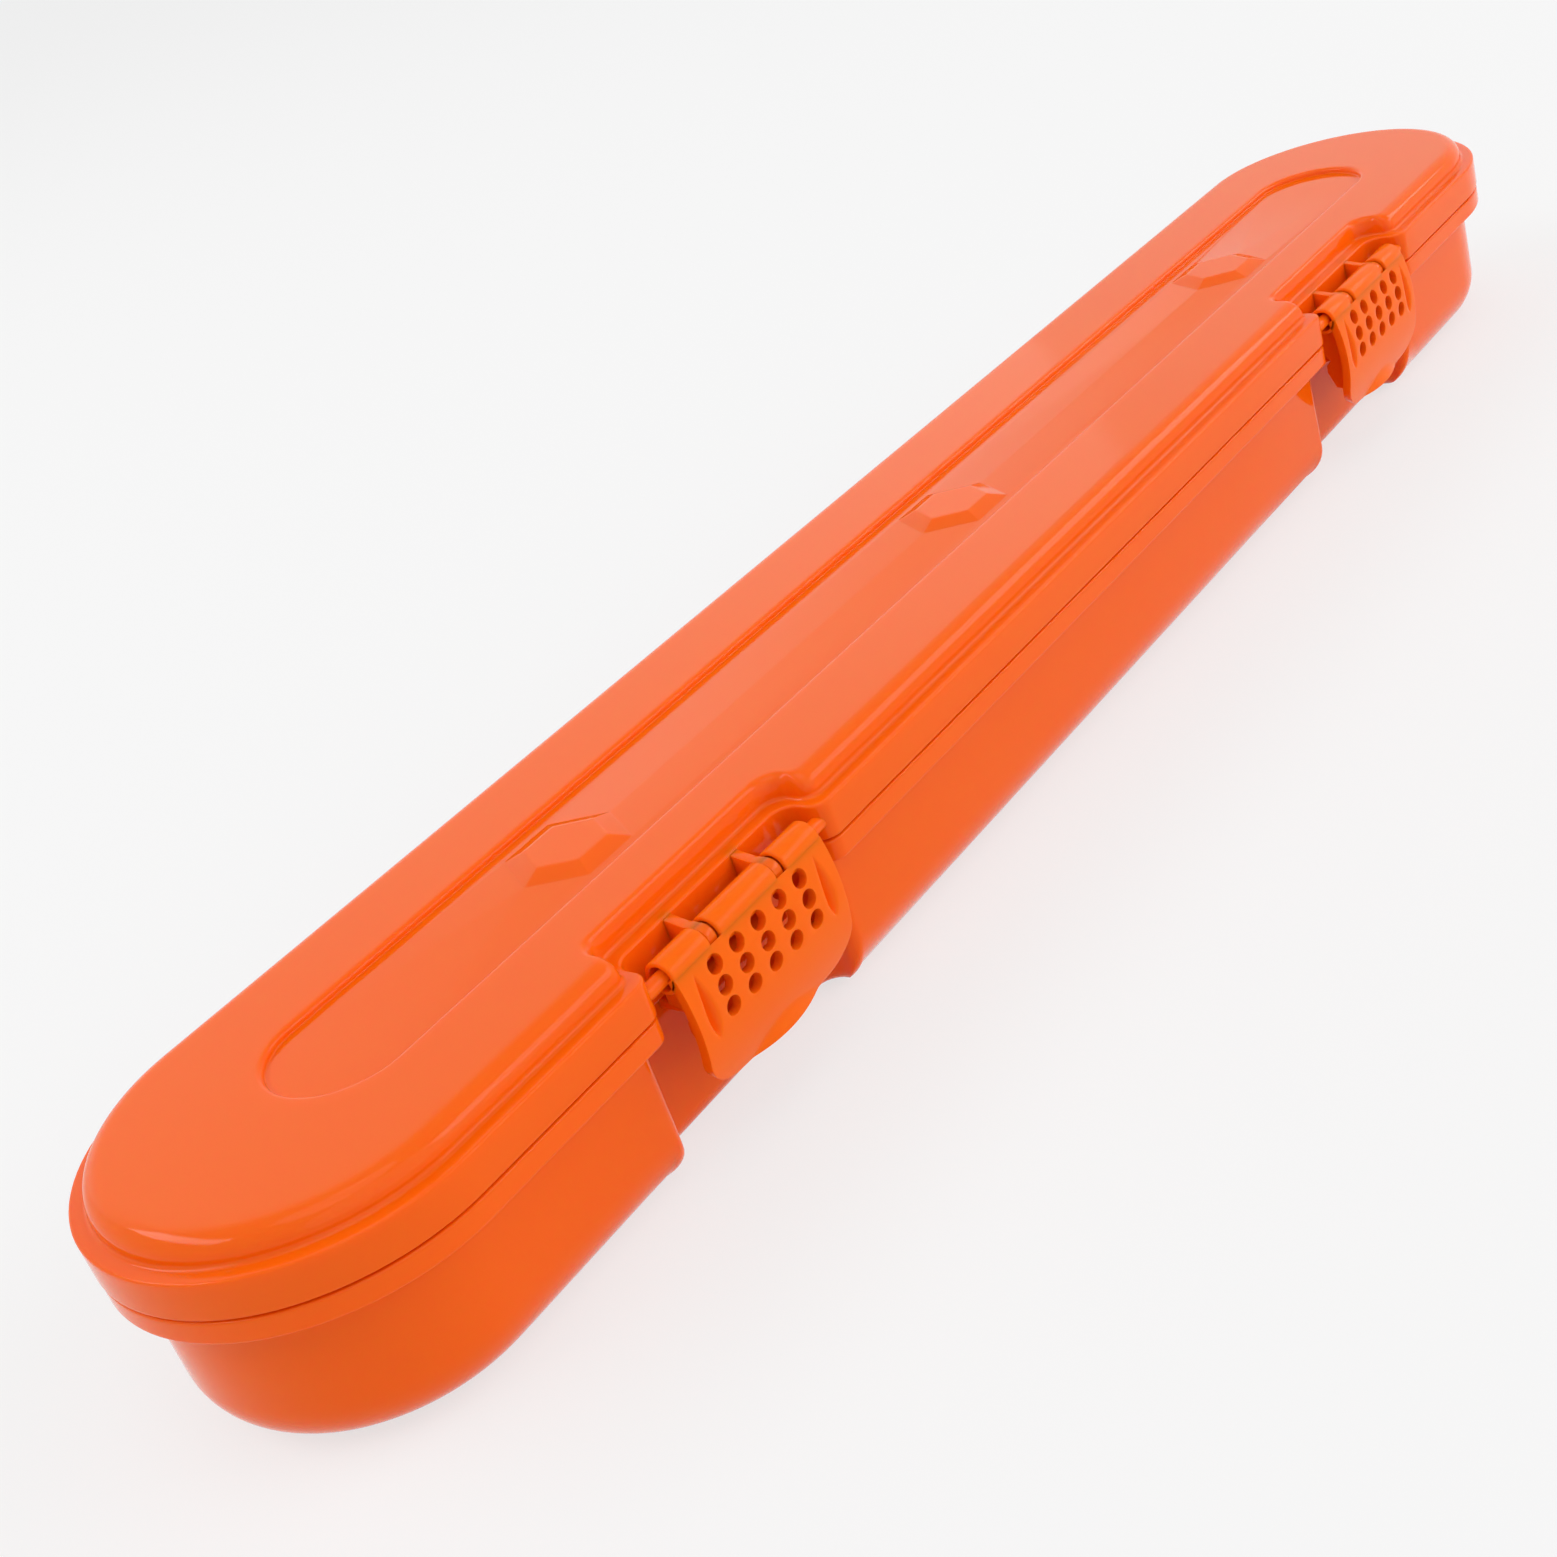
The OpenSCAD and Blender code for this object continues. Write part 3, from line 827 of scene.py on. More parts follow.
@dataclass
class BaseTray:
    """Base: tray with a flange, a band that hangs from it, a tongue, catches and hinge knuckles.

    Attributes:
        case: Sizes of the box.
        finish: Material of the shells.
        inset: How far the wall stands in from the rim.
        bottom_r: Radius along the bottom edge.
        bay_bottom_r: The same inside the bays.
        band_height: Height of the band.
        band_t: Thickness of the band.
        setback: How far the band stands behind the lid's rim.
        tongue: Inset of the tongue's outer and inner face.
        tongue_top: Height of the tongue.
        brow_r: Radius along the top of the band, under the gap.
        soft: Radius of the other edges.
        flat: Flat strip of the bottom, between its rounding and the face that closes it.
        inner_side: Inset of the wall's inner face at the sides of a bay.
        slim: Share of the tongue's thickness that is left at the sides of a bay.
        catch_width: Width of the catch in each bay.
        catch_y: Front and back of a catch.
        catch_z: Lower and upper side of a catch.
        knuckle_x: Distance of each knuckle from the middle of its hinge.
        knuckle_width: Width of a knuckle.
        knuckle_bore: Radius of its hole.
        heel: How far a heel reaches out from the hinge's axis, and up.
        heel_top: Where the top of the heel begins, from the axis.
    """

    case: Case
    finish: bpy.types.Material
    inset: float = 4.7
    bottom_r: float = 12.0
    bay_bottom_r: float = 5.0
    band_height: float = 4.5
    band_t: float = 1.6
    setback: float = 0.2
    tongue: Pair = (2.6, 4.4)
    tongue_top: float = 42.0
    brow_r: float = 0.5
    soft: float = 0.4
    flat: float = 1.2
    inner_side: float = 4.3
    slim: float = 0.7
    catch_width: float = 29.6
    catch_y: Pair = (-33.8, -25.5)
    catch_z: Pair = (26.4, 28.6)
    knuckle_x: float = 14.0
    knuckle_width: float = 8.0
    knuckle_bore: float = 1.25
    heel: Pair = (3.4, 1.5)
    heel_top: float = 0.8

    def rounding(self, inset: float, side: float, level: float, radius: float, bay_radius: float,
                 start: float, end: float) -> list[Ring]:
        """Draw the rounding between a wall and a floor.

        Args:
            inset: Inset of the wall.
            side: Inset of the wall at the sides of a bay.
            level: Height of the floor.
            radius: Radius of the rounding.
            bay_radius: Radius of the rounding inside a bay.
            start: First angle.
            end: Last angle.

        Returns:
            The rings.
        """
        outer = bend(inset + radius, level + radius, radius, start, end, 12)
        inner = bend(bay_radius, level + bay_radius, bay_radius, start, end, 12)
        return [Ring(u, z, side + bay_u, inset + bay_u, bay_z)
                for (u, z), (bay_u, bay_z) in zip(outer, inner)]

    def rim_ring(self, inset: float, z: float) -> Ring:
        """Draw a ring of the flange, whose gap to the wall is narrow at the sides of a bay.

        Args:
            inset: Inset of the ring.
            z: Its height.

        Returns:
            The ring.
        """
        band_in = self.setback + self.band_t
        narrow = (self.case.wall - band_in) / (self.inset - band_in)
        side = inset if inset < band_in else band_in + (inset - band_in) * narrow
        return Ring(inset, z, side)

    def section(self) -> list[Ring]:
        """Draw the section, from the bottom round the rim to the floor inside.

        Returns:
            The rings.
        """
        case, soft = self.case, self.soft
        rim, wall = case.base_top, self.inset
        under, low = rim - case.wall, rim - self.band_height
        band_in = self.setback + self.band_t
        flat = self.flat
        rings = [Ring(wall + self.bottom_r + flat, 0.0, case.wall + self.bay_bottom_r + flat,
                      wall + self.bay_bottom_r + flat)]
        rings += self.rounding(wall, case.wall, 0.0, self.bottom_r, self.bay_bottom_r, 270, 180)
        rings.append(Ring(wall, (self.bottom_r + under) / 2, case.wall))
        outside = bend(wall - soft, under - soft, soft, 0, 90)
        outside += bend(band_in + soft, under - soft, soft, 90, 180)
        outside += bend(band_in - soft, low + soft, soft, 0, -90)
        outside += bend(self.setback + soft, low + soft, soft, 270, 180)
        outside += [(self.setback, low + 2 * soft), (self.setback, rim - self.brow_r - soft)]
        outside += bend(self.setback + self.brow_r, rim - self.brow_r, self.brow_r, 180, 90)
        rings += [self.rim_ring(u, z) for u, z in outside]
        near, far = self.tongue
        tongue = [(near, rim), (near, rim + soft), (near, self.tongue_top - 2 * soft)]
        tongue += bend(near + soft, self.tongue_top - soft, soft, 180, 90)
        tongue += bend(far - soft, self.tongue_top - soft, soft, 90, 0)
        tongue += [(far, rim + soft), (far, rim)]
        rings += [Ring(u, z, near + (u - near) * self.slim) for u, z in tongue]
        inner, inner_side = wall + case.wall, self.inner_side
        inner_bay_r = self.bay_bottom_r - 1
        shelf = bend(inner - soft, rim - soft, soft, 90, 0)
        rings += [Ring(u, z, inner_side - (inner - u) / 2) for u, z in shelf]
        rings.append(Ring(inner, rim / 2, inner_side))
        rings += self.rounding(inner, inner_side, case.wall, self.bottom_r - case.wall, inner_bay_r, 180, 270)
        rings.append(Ring(inner + self.bottom_r - case.wall + flat, case.wall,
                          inner_side + inner_bay_r + flat, inner + inner_bay_r + flat))
        return rings

    def knuckles(self, bm: Mesh) -> None:
        """Add the outer knuckles of each hinge, with the heels that stop the lid.

        Args:
            bm: The mesh.
        """
        case = self.case
        y, z, low = case.hinge_y, case.hinge_z, case.hinge_z - case.knuckle_r
        out, top = y + self.heel[0], z + self.heel[1]
        heel = [(y, low), (out, low), (out, top), (y + self.heel_top, top)]
        heel += bend(y, z, case.knuckle_clear, 60, -90, 8)
        for place in case.hinge_places:
            for side in SIDES:
                x = place + side * self.knuckle_x
                knuckle(bm, case, x, self.knuckle_width, self.knuckle_bore, -1)
                plate(bm, heel, x, self.knuckle_width, edge=0.25)

    def build(self) -> None:
        """Build the base."""
        piece = Piece("tray_moulding", "base", Slot.SHELL, self.finish)
        outline = Outline(self.case)
        first, last = loft(piece.bm, [outline.points(ring) for ring in self.section()])
        fill(piece.bm, first)
        fill(piece.bm, last)
        self.knuckles(piece.bm)
        half = self.catch_width / 2
        (front, back), (low, high) = self.catch_y, self.catch_z
        for x in self.case.latches:
            block(piece.bm, (x - half, front, low), (x + half, back, high), edge=0.35)
        piece.place("base")


@dataclass
class Lid:
    """Lid: rim band, crown with a sunk panel and three bosses, pin ears and hinge knuckles.

    Attributes:
        case: Sizes of the box.
        finish: Material of the shells.
        crown_inset: How far the crown stands in from the rim.
        crown_r: Width of the rounding along the crown's top edge.
        crown_drop: Height of that rounding.
        notch_side: How far the crown stands back at the sides of a bay.
        notch_share: Share of the crown's rounding that is left there.
        shoulder_r: Radius along the shoulder of the rim.
        edge_r: Radius along the rim's lower edge.
        foot_r: Radius at the foot of the crown.
        foot_share: Share of that radius at the sides of a bay.
        panel: Length and width of the panel at its floor.
        panel_depth: Depth of the panel.
        panel_frame: How much longer and wider the panel's underside is.
        boss: Distance from the middle of a boss to its sides, at the foot and at the top.
        ear_t: Thickness of an ear.
        ear_r: Radius of an ear round its pin.
        knuckle_width: Width of the knuckle of each hinge.
        knuckle_bore: Radius of its hole, in which the pin turns.
        soft: Radius of the other edges.
        flat: Flat strip between a rounding and the face that it leads to.
    """

    case: Case
    finish: bpy.types.Material
    crown_inset: float = 3.3
    crown_r: float = 4.0
    crown_drop: float = 3.9
    notch_side: float = 2.0
    notch_share: float = 0.4
    shoulder_r: float = 0.5
    edge_r: float = 0.25
    foot_r: float = 0.9
    foot_share: float = 0.75
    panel: Pair = (423.0, 28.0)
    panel_depth: float = 1.5
    panel_frame: float = 7.0
    boss: Pair = (10.8, 7.2)
    ear_t: float = 2.2
    ear_r: float = 2.7
    knuckle_width: float = 19.2
    knuckle_bore: float = 1.31
    soft: float = 0.4
    flat: float = 1.2

    def section(self) -> list[Ring]:
        """Draw the section, from the crown round the rim to the ceiling inside.

        Returns:
            The rings.
        """
        case, soft = self.case, self.soft
        top, ledge, low, wall = case.lid_top, case.ledge, case.lid_bottom, case.wall
        crown, inner = self.crown_inset, self.crown_inset + case.wall
        under, ceiling = ledge - wall, top - wall
        closer, ceiling_r = crown - self.notch_side, self.crown_r - wall
        steep = self.crown_drop / self.crown_r
        brink = 1.5
        line = [(self.crown_r + brink, 0.0)] + bend(self.crown_r, -self.crown_r, self.crown_r, 90, 180, 14)
        rings = []
        for into, down in line:
            back = into * self.notch_share
            rings.append(Ring(crown + into, top + down * steep, self.notch_side + back, crown + back))
        line = bend(crown - self.foot_r, ledge + self.foot_r, self.foot_r, 0, -90, 8)
        rings += [Ring(inset, z, self.notch_side - (crown - inset) * self.foot_share) for inset, z in line]
        line = bend(self.shoulder_r, ledge - self.shoulder_r, self.shoulder_r, 90, 180, 6)
        line += [(0.0, ledge - 2 * self.shoulder_r), (0.0, low + 2 * self.edge_r)]
        line += bend(self.edge_r, low + self.edge_r, self.edge_r, 180, 270)
        line += bend(wall - soft, low + soft, soft, 270, 360)
        line += bend(wall + soft, under - soft, soft, 180, 90)
        rings += [Ring(inset, z) for inset, z in line]
        line = bend(inner - soft, under + soft, soft, 270, 360)
        line += bend(inner + ceiling_r, ceiling - ceiling_r, ceiling_r, 180, 90, 6)
        line.append((inner + ceiling_r + self.flat, ceiling))
        return rings + [Ring(inset, z, inset - closer) for inset, z in line]

    def panel_rings(self) -> list[list[Vector]]:
        """Draw the rounded edge of the panel, from the crown down to the panel's floor.

        Returns:
            The rings.
        """
        top, floor = self.case.lid_top, self.case.lid_top - self.panel_depth
        brink, brink_r, foot_r = 1.4, 1.1, 0.3
        outermost, innermost = 2.3, -0.8
        line = [(outermost, top)] + bend(brink, top - brink_r, brink_r, 90, 180, 5)
        line += bend(0.0, floor + foot_r, foot_r, 0, -90, 3) + [(innermost, floor)]
        length, width = self.panel
        return [stadium(length + 2 * out, width + 2 * out, z) for out, z in line]

    def bosses(self, bm: Mesh) -> list[Edge]:
        """Add the hexagonal bosses.

        Args:
            bm: The mesh.

        Returns:
            The edges round their feet.
        """
        top, floor = self.case.lid_top, self.case.lid_top - self.panel_depth
        foot, head = self.boss
        rise = top - floor
        # Each row holds the distance to the sides, the height and the radius of the corners.
        shape = [(foot + 0.35, 0.0, 1.0), (foot + 0.12, 0.04, 0.9), (foot - 0.2, 0.16, 0.8),
                 (head + 0.45, rise - 0.2, 0.7), (head + 0.12, rise - 0.06, 0.6), (head - 0.3, rise, 0.5),
                 (head - 0.8, rise, 0.5)]
        feet = []
        left, right = self.case.latches
        for x in (left, 0.0, right):
            first, last = loft(bm, [hexagon(x, flat, round_r, floor + up) for flat, up, round_r in shape])
            fill(bm, last)
            feet += first
        return feet

    def ceiling(self, bm: Mesh) -> list[Edge]:
        """Add the underside of the panel.

        Args:
            bm: The mesh.

        Returns:
            The edges where it meets the ceiling.
        """
        level, drop, soft = self.case.lid_top - self.case.wall, self.panel_depth, self.soft
        length, width = (size + self.panel_frame for size in self.panel)
        line = [(soft, 0.0)] + bend(-soft, soft - drop, soft, 0, -90) + [(-self.flat, -drop)]
        rings = [stadium(length + 2 * out, width + 2 * out, level + up) for out, up in line]
        first, last = loft(bm, rings)
        fill(bm, last)
        return first

    def ears(self, bm: Mesh) -> None:
        """Add the ears that carry the latch pins, as gussets that rise to the ledge.

        Args:
            bm: The mesh.
        """
        case, radius = self.case, self.ear_r
        y, z = case.pin_y, case.pin_z
        wall_y = case.bay_depth - case.half_width + case.wall / 2
        lean, below_ledge, round_pin, fit = 0.4, 0.12, 0.2, 0.02
        gusset = [(y, z - radius), (wall_y, z - radius), (wall_y + lean, case.ledge - below_ledge),
                  (y + radius, z + radius), (y, z + radius)]
        gusset += bend(y, z, case.pin_r + round_pin, 90, -90, 8)
        for latch in case.latches:
            for side in SIDES:
                x = latch + side * case.ear_x
                bearing(bm, x, self.ear_t, y, z, radius, case.pin_r + fit, edge=0.2)
                plate(bm, gusset, x, self.ear_t, edge=0.18)

    def build(self) -> None:
        """Build the lid."""
        piece = Piece("lid_moulding", "lid", Slot.SHELL, self.finish)
        bm = piece.bm
        outline = Outline(self.case)
        first, last = loft(bm, [outline.points(ring) for ring in self.section()])
        brink, floor = loft(bm, self.panel_rings())
        fill(bm, first, brink)
        fill(bm, floor, self.bosses(bm))
        fill(bm, last, self.ceiling(bm))
        self.ears(bm)
        for x in self.case.hinge_places:
            knuckle(bm, self.case, x, self.knuckle_width, self.knuckle_bore, 1)
        piece.place("lid")


@dataclass
class Latch:
    """Snap latch: a bowed plate with grip holes, rolled onto its pin, with webs and a hook behind.

    Attributes:
        case: Sizes of the box.
        finish: Material of the latches.
        name: Left or right.
        x: Middle of the latch.
        width: Width of the plate.
        thickness: Thickness of the plate.
        face_r: Radius of the bow.
        bow_y: Middle of the bow.
        bow_z: Height of the bow's middle.
        bottom: Height of the lower edge.
        plate_top: Height of the plate under the barrel.
        corner: Radius of the lower corners.
        barrel_r: Radius of the barrel.
        slot: Width of each slot round an ear.
        pitch: Spacing of the grip holes across and along the plate.
        holes: Number of grip holes across and along the plate.
        hole_r: Radius of a grip hole.
        top_row: Height of the top row of holes.
        cell: Steps of the mesh across the square round each hole, an even number.
        edge_rise: How far the lower edge rises at its ends.
        edge_fade: Height over the lower edge at which that rise has died away.
        groove_ends: Lower and upper end of the side grooves, from the bow's middle.
        groove_in: How far the middle of a groove lies in from the side.
        groove_deep: Depth of a groove at its widest.
        groove_half: Half its width there.
        lip_reach: How far the finger lip stands out in the middle.
        lip_half: Distance from the middle at which it stands out no more.
        lip_lean: How far the lip leans back for each millimetre of height.
        lip_blend: Distance over which lip and bow run into each other.
        ear_clear: Radius that the back leaves free round each ear.
        beside: Places of the mesh lines beside the holes, in from the side.
        above: Places of the mesh lines above the holes, as shares of the way up.
    """

    case: Case
    finish: bpy.types.Material
    name: str
    x: float
    width: float = 44.0
    thickness: float = 2.0
    face_r: float = 38.0
    bow_y: float = -4.7
    bow_z: float = 29.3
    bottom: float = 14.2
    plate_top: float = 40.4
    corner: float = 7.5
    barrel_r: float = 3.4
    slot: float = 3.0
    pitch: Pair = (6.44, 4.4)
    holes: tuple[int, int] = (5, 3)
    hole_r: float = 1.85
    top_row: float = 37.4
    cell: int = 8
    edge_rise: float = 2.0
    edge_fade: float = 9.0
    groove_ends: Pair = (-3.2, 9.2)
    groove_in: float = 3.9
    groove_deep: float = 1.7
    groove_half: float = 1.4
    lip_reach: float = 1.8
    lip_half: float = 11.0
    lip_lean: float = 0.127
    lip_blend: float = 0.12
    ear_clear: float = 3.1
    beside: tuple[float, ...] = (0.0, 0.6, 1.5, 2.3, 2.75, 3.1, 3.4, 3.65, 3.9, 4.15, 4.4, 4.7, 5.05, 5.45)
    above: Triple = (0.35, 0.7, 1.0)

    @property
    def start(self) -> float:
        """Angle of the lower edge on the bow."""
        return math.asin((self.bottom - self.bow_z) / self.face_r)

    def along(self, z: float) -> float:
        """Distance of a height from the lower edge, along the bow."""
        return self.face_r * (math.asin((z - self.bow_z) / self.face_r) - self.start)

    def columns(self) -> list[float]:
        """Place the mesh lines across the plate, close together at the grooves.

        Returns:
            Their distances from the middle.
        """
        half = self.width / 2
        block_half = self.holes[0] * self.pitch[0] / 2
        margin = [half - step for step in self.beside]
        count = self.holes[0] * self.cell
        middle = [block_half - 2 * block_half * step / count for step in range(count + 1)]
        return [-place for place in margin] + [-place for place in middle] + margin[::-1]

    def rows(self) -> list[float]:
        """Place the mesh lines along the plate.

        Returns:
            Their distances from the lower edge.
        """
        top = self.along(self.top_row) + self.pitch[1] / 2
        low = top - self.holes[1] * self.pitch[1]
        below, count = 22, self.holes[1] * self.cell
        end = self.along(self.plate_top)
        lines = [low * step / below for step in range(below)]
        lines += [low + (top - low) * step / count for step in range(count + 1)]
        return lines + [top + (end - top) * share for share in self.above]

    def sheet(self, bm: Mesh) -> None:
        """Draw the flat plate with its round holes, and give it a back.

        Args:
            bm: The mesh.
        """
        columns, rows = self.columns(), self.rows()
        across, up = len(columns) - 1, len(rows) - 1
        bmesh.ops.create_grid(bm, x_segments=across, y_segments=up, size=1.0)
        first_column = columns.index(-self.holes[0] * self.pitch[0] / 2)
        first_row = up - len(self.above) - self.holes[1] * self.cell
        half = self.cell // 2
        # A cell is the square of mesh round one hole, counted across and up from the lower left.
        inside: dict[Vert, tuple[int, int]] = {}
        for vert in bm.verts:
            column = round((vert.co.x + 1) / 2 * across)
            row = round((vert.co.y + 1) / 2 * up)
            vert.co = (columns[column], rows[row], 0.0)
            cell = ((column - first_column) // self.cell, (row - first_row) // self.cell)
            a = (column - first_column) % self.cell - half
            b = (row - first_row) % self.cell - half
            ring = max(abs(a), abs(b))
            if not (0 <= cell[0] < self.holes[0] and 0 <= cell[1] < self.holes[1] and ring < half):
                continue
            inside[vert] = cell
            if ring == half - 1:
                turn = math.pi / 4 * b / a if abs(a) >= abs(b) else math.pi / 2 - math.pi / 4 * a / b
                turn += math.pi if (a < 0 if abs(a) >= abs(b) else b < 0) else 0.0
                u = columns[first_column + cell[0] * self.cell + half]
                s = rows[first_row + cell[1] * self.cell + half]
                vert.co = (u + self.hole_r * math.cos(turn), s + self.hole_r * math.sin(turn), 0.0)
        open_faces = [face for face in bm.faces if all(vert in inside for vert in face.verts)
                      and len({inside[vert] for vert in face.verts}) == 1]
        bmesh.ops.delete(bm, geom=open_faces, context="FACES")
        back = added_verts(bmesh.ops.extrude_face_region(bm, geom=bm.faces[:]))
        bmesh.ops.translate(bm, vec=(0, 0, -1), verts=back)

    def outline_place(self, u: float, s: float) -> Pair:
        """Round the lower corners and curve the lower edge.

        Args:
            u: Distance from the middle.
            s: Distance from the lower edge.

        Returns:
            The same point on the real outline.
        """
        radius = self.corner
        a = max(0.0, abs(u) - self.width / 2 + radius) / radius
        b = max(0.0, radius - s) / radius
        if a > 0 and b > 0:
            u = math.copysign(self.width / 2 - radius + radius * a * math.sqrt(1 - b * b / 2), u)
            s = radius - radius * b * math.sqrt(1 - a * a / 2)
        fade = max(0.0, 1 - s / self.edge_fade)
        return u, s + fade * self.edge_rise * (2 * u / self.width) ** 2

    def front(self, u: float, s: float) -> Vector:
        """Place a point of the front: the bow with its side grooves and finger lip.

        Args:
            u: Distance from the middle.
            s: Distance from the lower edge.

        Returns:
            The point.
        """
        turn = self.start + s / self.face_r
        z = self.bow_z + self.face_r * math.sin(turn)
        radius = self.face_r - self.groove(u, z)
        y = self.bow_y - radius * math.cos(turn)
        root = self.bow_y - self.face_r * math.cos(self.start)
        lip = root - self.lip_reach + self.lip_reach * (u / self.lip_half) ** 2
        lip += self.lip_lean * (z - self.bottom)
        gap = max(0.0, 1 - abs(y - lip) / self.lip_blend)
        return Vector((self.x + u, min(y, lip) - self.lip_blend * gap * gap / 4, z))

    def groove(self, u: float, z: float) -> float:
        """Give the depth of the side grooves, which run to a point at both ends.

        Args:
            u: Distance from the middle.
            z: Height.

        Returns:
            Depth of the groove there.
        """
        low, high = (self.bow_z + end for end in self.groove_ends)
        if not low < z < high:
            return 0.0
        skew, fullness, roundness, least = 0.65, 0.8, 1.3, 0.05
        share = (z - low) / (high - low)
        half = self.groove_half * math.sin(math.pi * share ** skew) ** fullness + least
        away = abs(abs(u) - self.width / 2 + self.groove_in)
        return self.groove_deep * half / self.groove_half * max(0.0, 1 - away / half) ** roundness

    def back(self, u: float, s: float) -> Vector:
        """Place a point of the back, which leaves room for the ears.

        Args:
            u: Distance from the middle.
            s: Distance from the lower edge.

        Returns:
            The point.
        """
        radius = self.face_r - self.thickness
        turn = self.start + s / self.face_r
        y, z = self.bow_y - radius * math.cos(turn), self.bow_z + radius * math.sin(turn)
        point = Vector((self.x + u, y, z))
        axis = Vector((point.x, self.case.pin_y, self.case.pin_z))
        away = point - axis
        margin, thinnest = 0.4, 0.25
        beside = abs(abs(u) - self.case.ear_x) < self.slot / 2 + margin
        if beside and away.length < self.ear_clear:
            point = axis + away.normalized() * self.ear_clear
            point.y = max(point.y, self.front(u, s).y + thinnest)
        return point

    def build(self) -> None:
        """Build the latch."""
        piece = Piece(f"latch_moulding_{self.name}", f"latch_{self.name}", Slot.LATCH, self.finish)
        bm = piece.bm
        self.sheet(bm)
        # The sheet's front lies at 0 and its back at -1, and each point moves to its real place.
        for vert in bm.verts:
            place = self.outline_place(vert.co.x, vert.co.y)
            vert.co = self.back(*place) if vert.co.z < -0.5 else self.front(*place)
        bmesh.ops.recalc_face_normals(bm, faces=bm.faces)
        least = math.radians(55)
        rims = [edge for edge in bm.edges if edge.calc_face_angle(0.0) > least]
        soften(bm, rims, radius=0.22, segments=3)
        self.barrel(bm)
        self.webs(bm)
        piece.place(f"latch_{self.name}")

    def barrel(self, bm: Mesh) -> None:
        """Add the three rolled parts of the barrel, hollow at their ends.

        Args:
            bm: The mesh.
        """
        case = self.case
        play = 0.06
        hole = case.pin_r + play
        ear, half_slot, half = case.ear_x, self.slot / 2, self.width / 2
        cuts = [-half, -ear - half_slot, -ear + half_slot, ear - half_slot, ear + half_slot, half]
        for start, end in zip(cuts[::2], cuts[1::2]):
            right = self.barrel_end(end, 1, hole)
            left = self.barrel_end(start, -1, hole)
            profile = [(self.x + along, up) for along, up in right + left[::-1]]
            lathe(bm, profile, case.pin_y, case.pin_z, closed=True, steps=64)

    def barrel_end(self, place: float, side: int, hole: float) -> Section:
        """Draw one end of a rolled part, from its bearing out to its outer face.

        Args:
            place: Distance of the end from the middle of the latch.
            side: Side that the end faces.
            hole: Radius of the bearing.

        Returns:
            Pairs of x and radius.
        """
        hollow, soft, lip = 2.45, 0.45, 0.15
        outer_depth, inner_depth = 5.0, 1.6
        deep = outer_depth if abs(place) > self.width / 2 - soft else inner_depth
        shape = [(deep, hole), (deep, hollow - lip), (deep - lip, hollow), (lip, hollow), (0.0, hollow + lip)]
        shape += [(soft - along, self.barrel_r - soft + up) for along, up in bend(0, 0, soft, 0, 90, 4)]
        return [(place - side * into, up) for into, up in shape]

    def webs(self, bm: Mesh) -> None:
        """Add the web behind each end, notched for the catch, and the hook between them.

        Args:
            bm: The mesh.
        """
        y, z = self.case.pin_y, self.case.pin_z
        web_y, hook_y, root_y = -31.3, -34.1, -41.3
        hook_low, hook_high = 24.3, 26.1
        around_pin, reach, web_t = 1.9, 16.1, 1.8
        profile = [(web_y, z - 1.5), (web_y, 30.0), (hook_y, 29.2), (hook_y - 1.2, 27.5), (hook_y, hook_high),
                   (hook_y, hook_low), (hook_y - 1.8, 20.2), (root_y + 1.0, 19.2), (root_y, self.bow_z),
                   (root_y + 0.5, z)]
        profile += bend(y, z, around_pin, 180, 340, 8)
        for side in SIDES:
            plate(bm, profile, self.x + side * reach, web_t, edge=0.2)
        block(bm, (self.x - reach, root_y + 0.2, hook_low), (self.x + reach, hook_y, hook_high), edge=0.25)


@dataclass
class Pins:
    """Pins of the latches and of the lid hinges.

    Attributes:
        case: Sizes of the box.
        latch_finish: Material of the latch pins.
        hinge_finish: Material of the hinge pins.
        latch_length: Length of a latch pin.
        hinge_length: Length of a hinge pin.
        hinge_r: Radius of a hinge pin.
    """

    case: Case
    latch_finish: bpy.types.Material
    hinge_finish: bpy.types.Material
    latch_length: float = 53.8
    hinge_length: float = 36.0
    hinge_r: float = 1.25

    def build(self) -> None:
        """Build all the pins."""
        case = self.case
        for name, side in NAMED_SIDES:
            piece = Piece(f"latch_rod_{name}", "lid", Slot.LATCH_PIN, self.latch_finish)
            pin(piece.bm, side * case.latch_x, self.latch_length, case.pin_y, case.pin_z, case.pin_r)
            piece.place(f"latch_pin_{name}")
        for name, x in zip(("left", "middle", "right"), case.hinge_places):
            piece = Piece(f"hinge_rod_{name}", "base", Slot.HINGE_PIN, self.hinge_finish)
            pin(piece.bm, x, self.hinge_length, case.hinge_y, case.hinge_z, self.hinge_r)
            piece.place(f"hinge_pin_{name}")


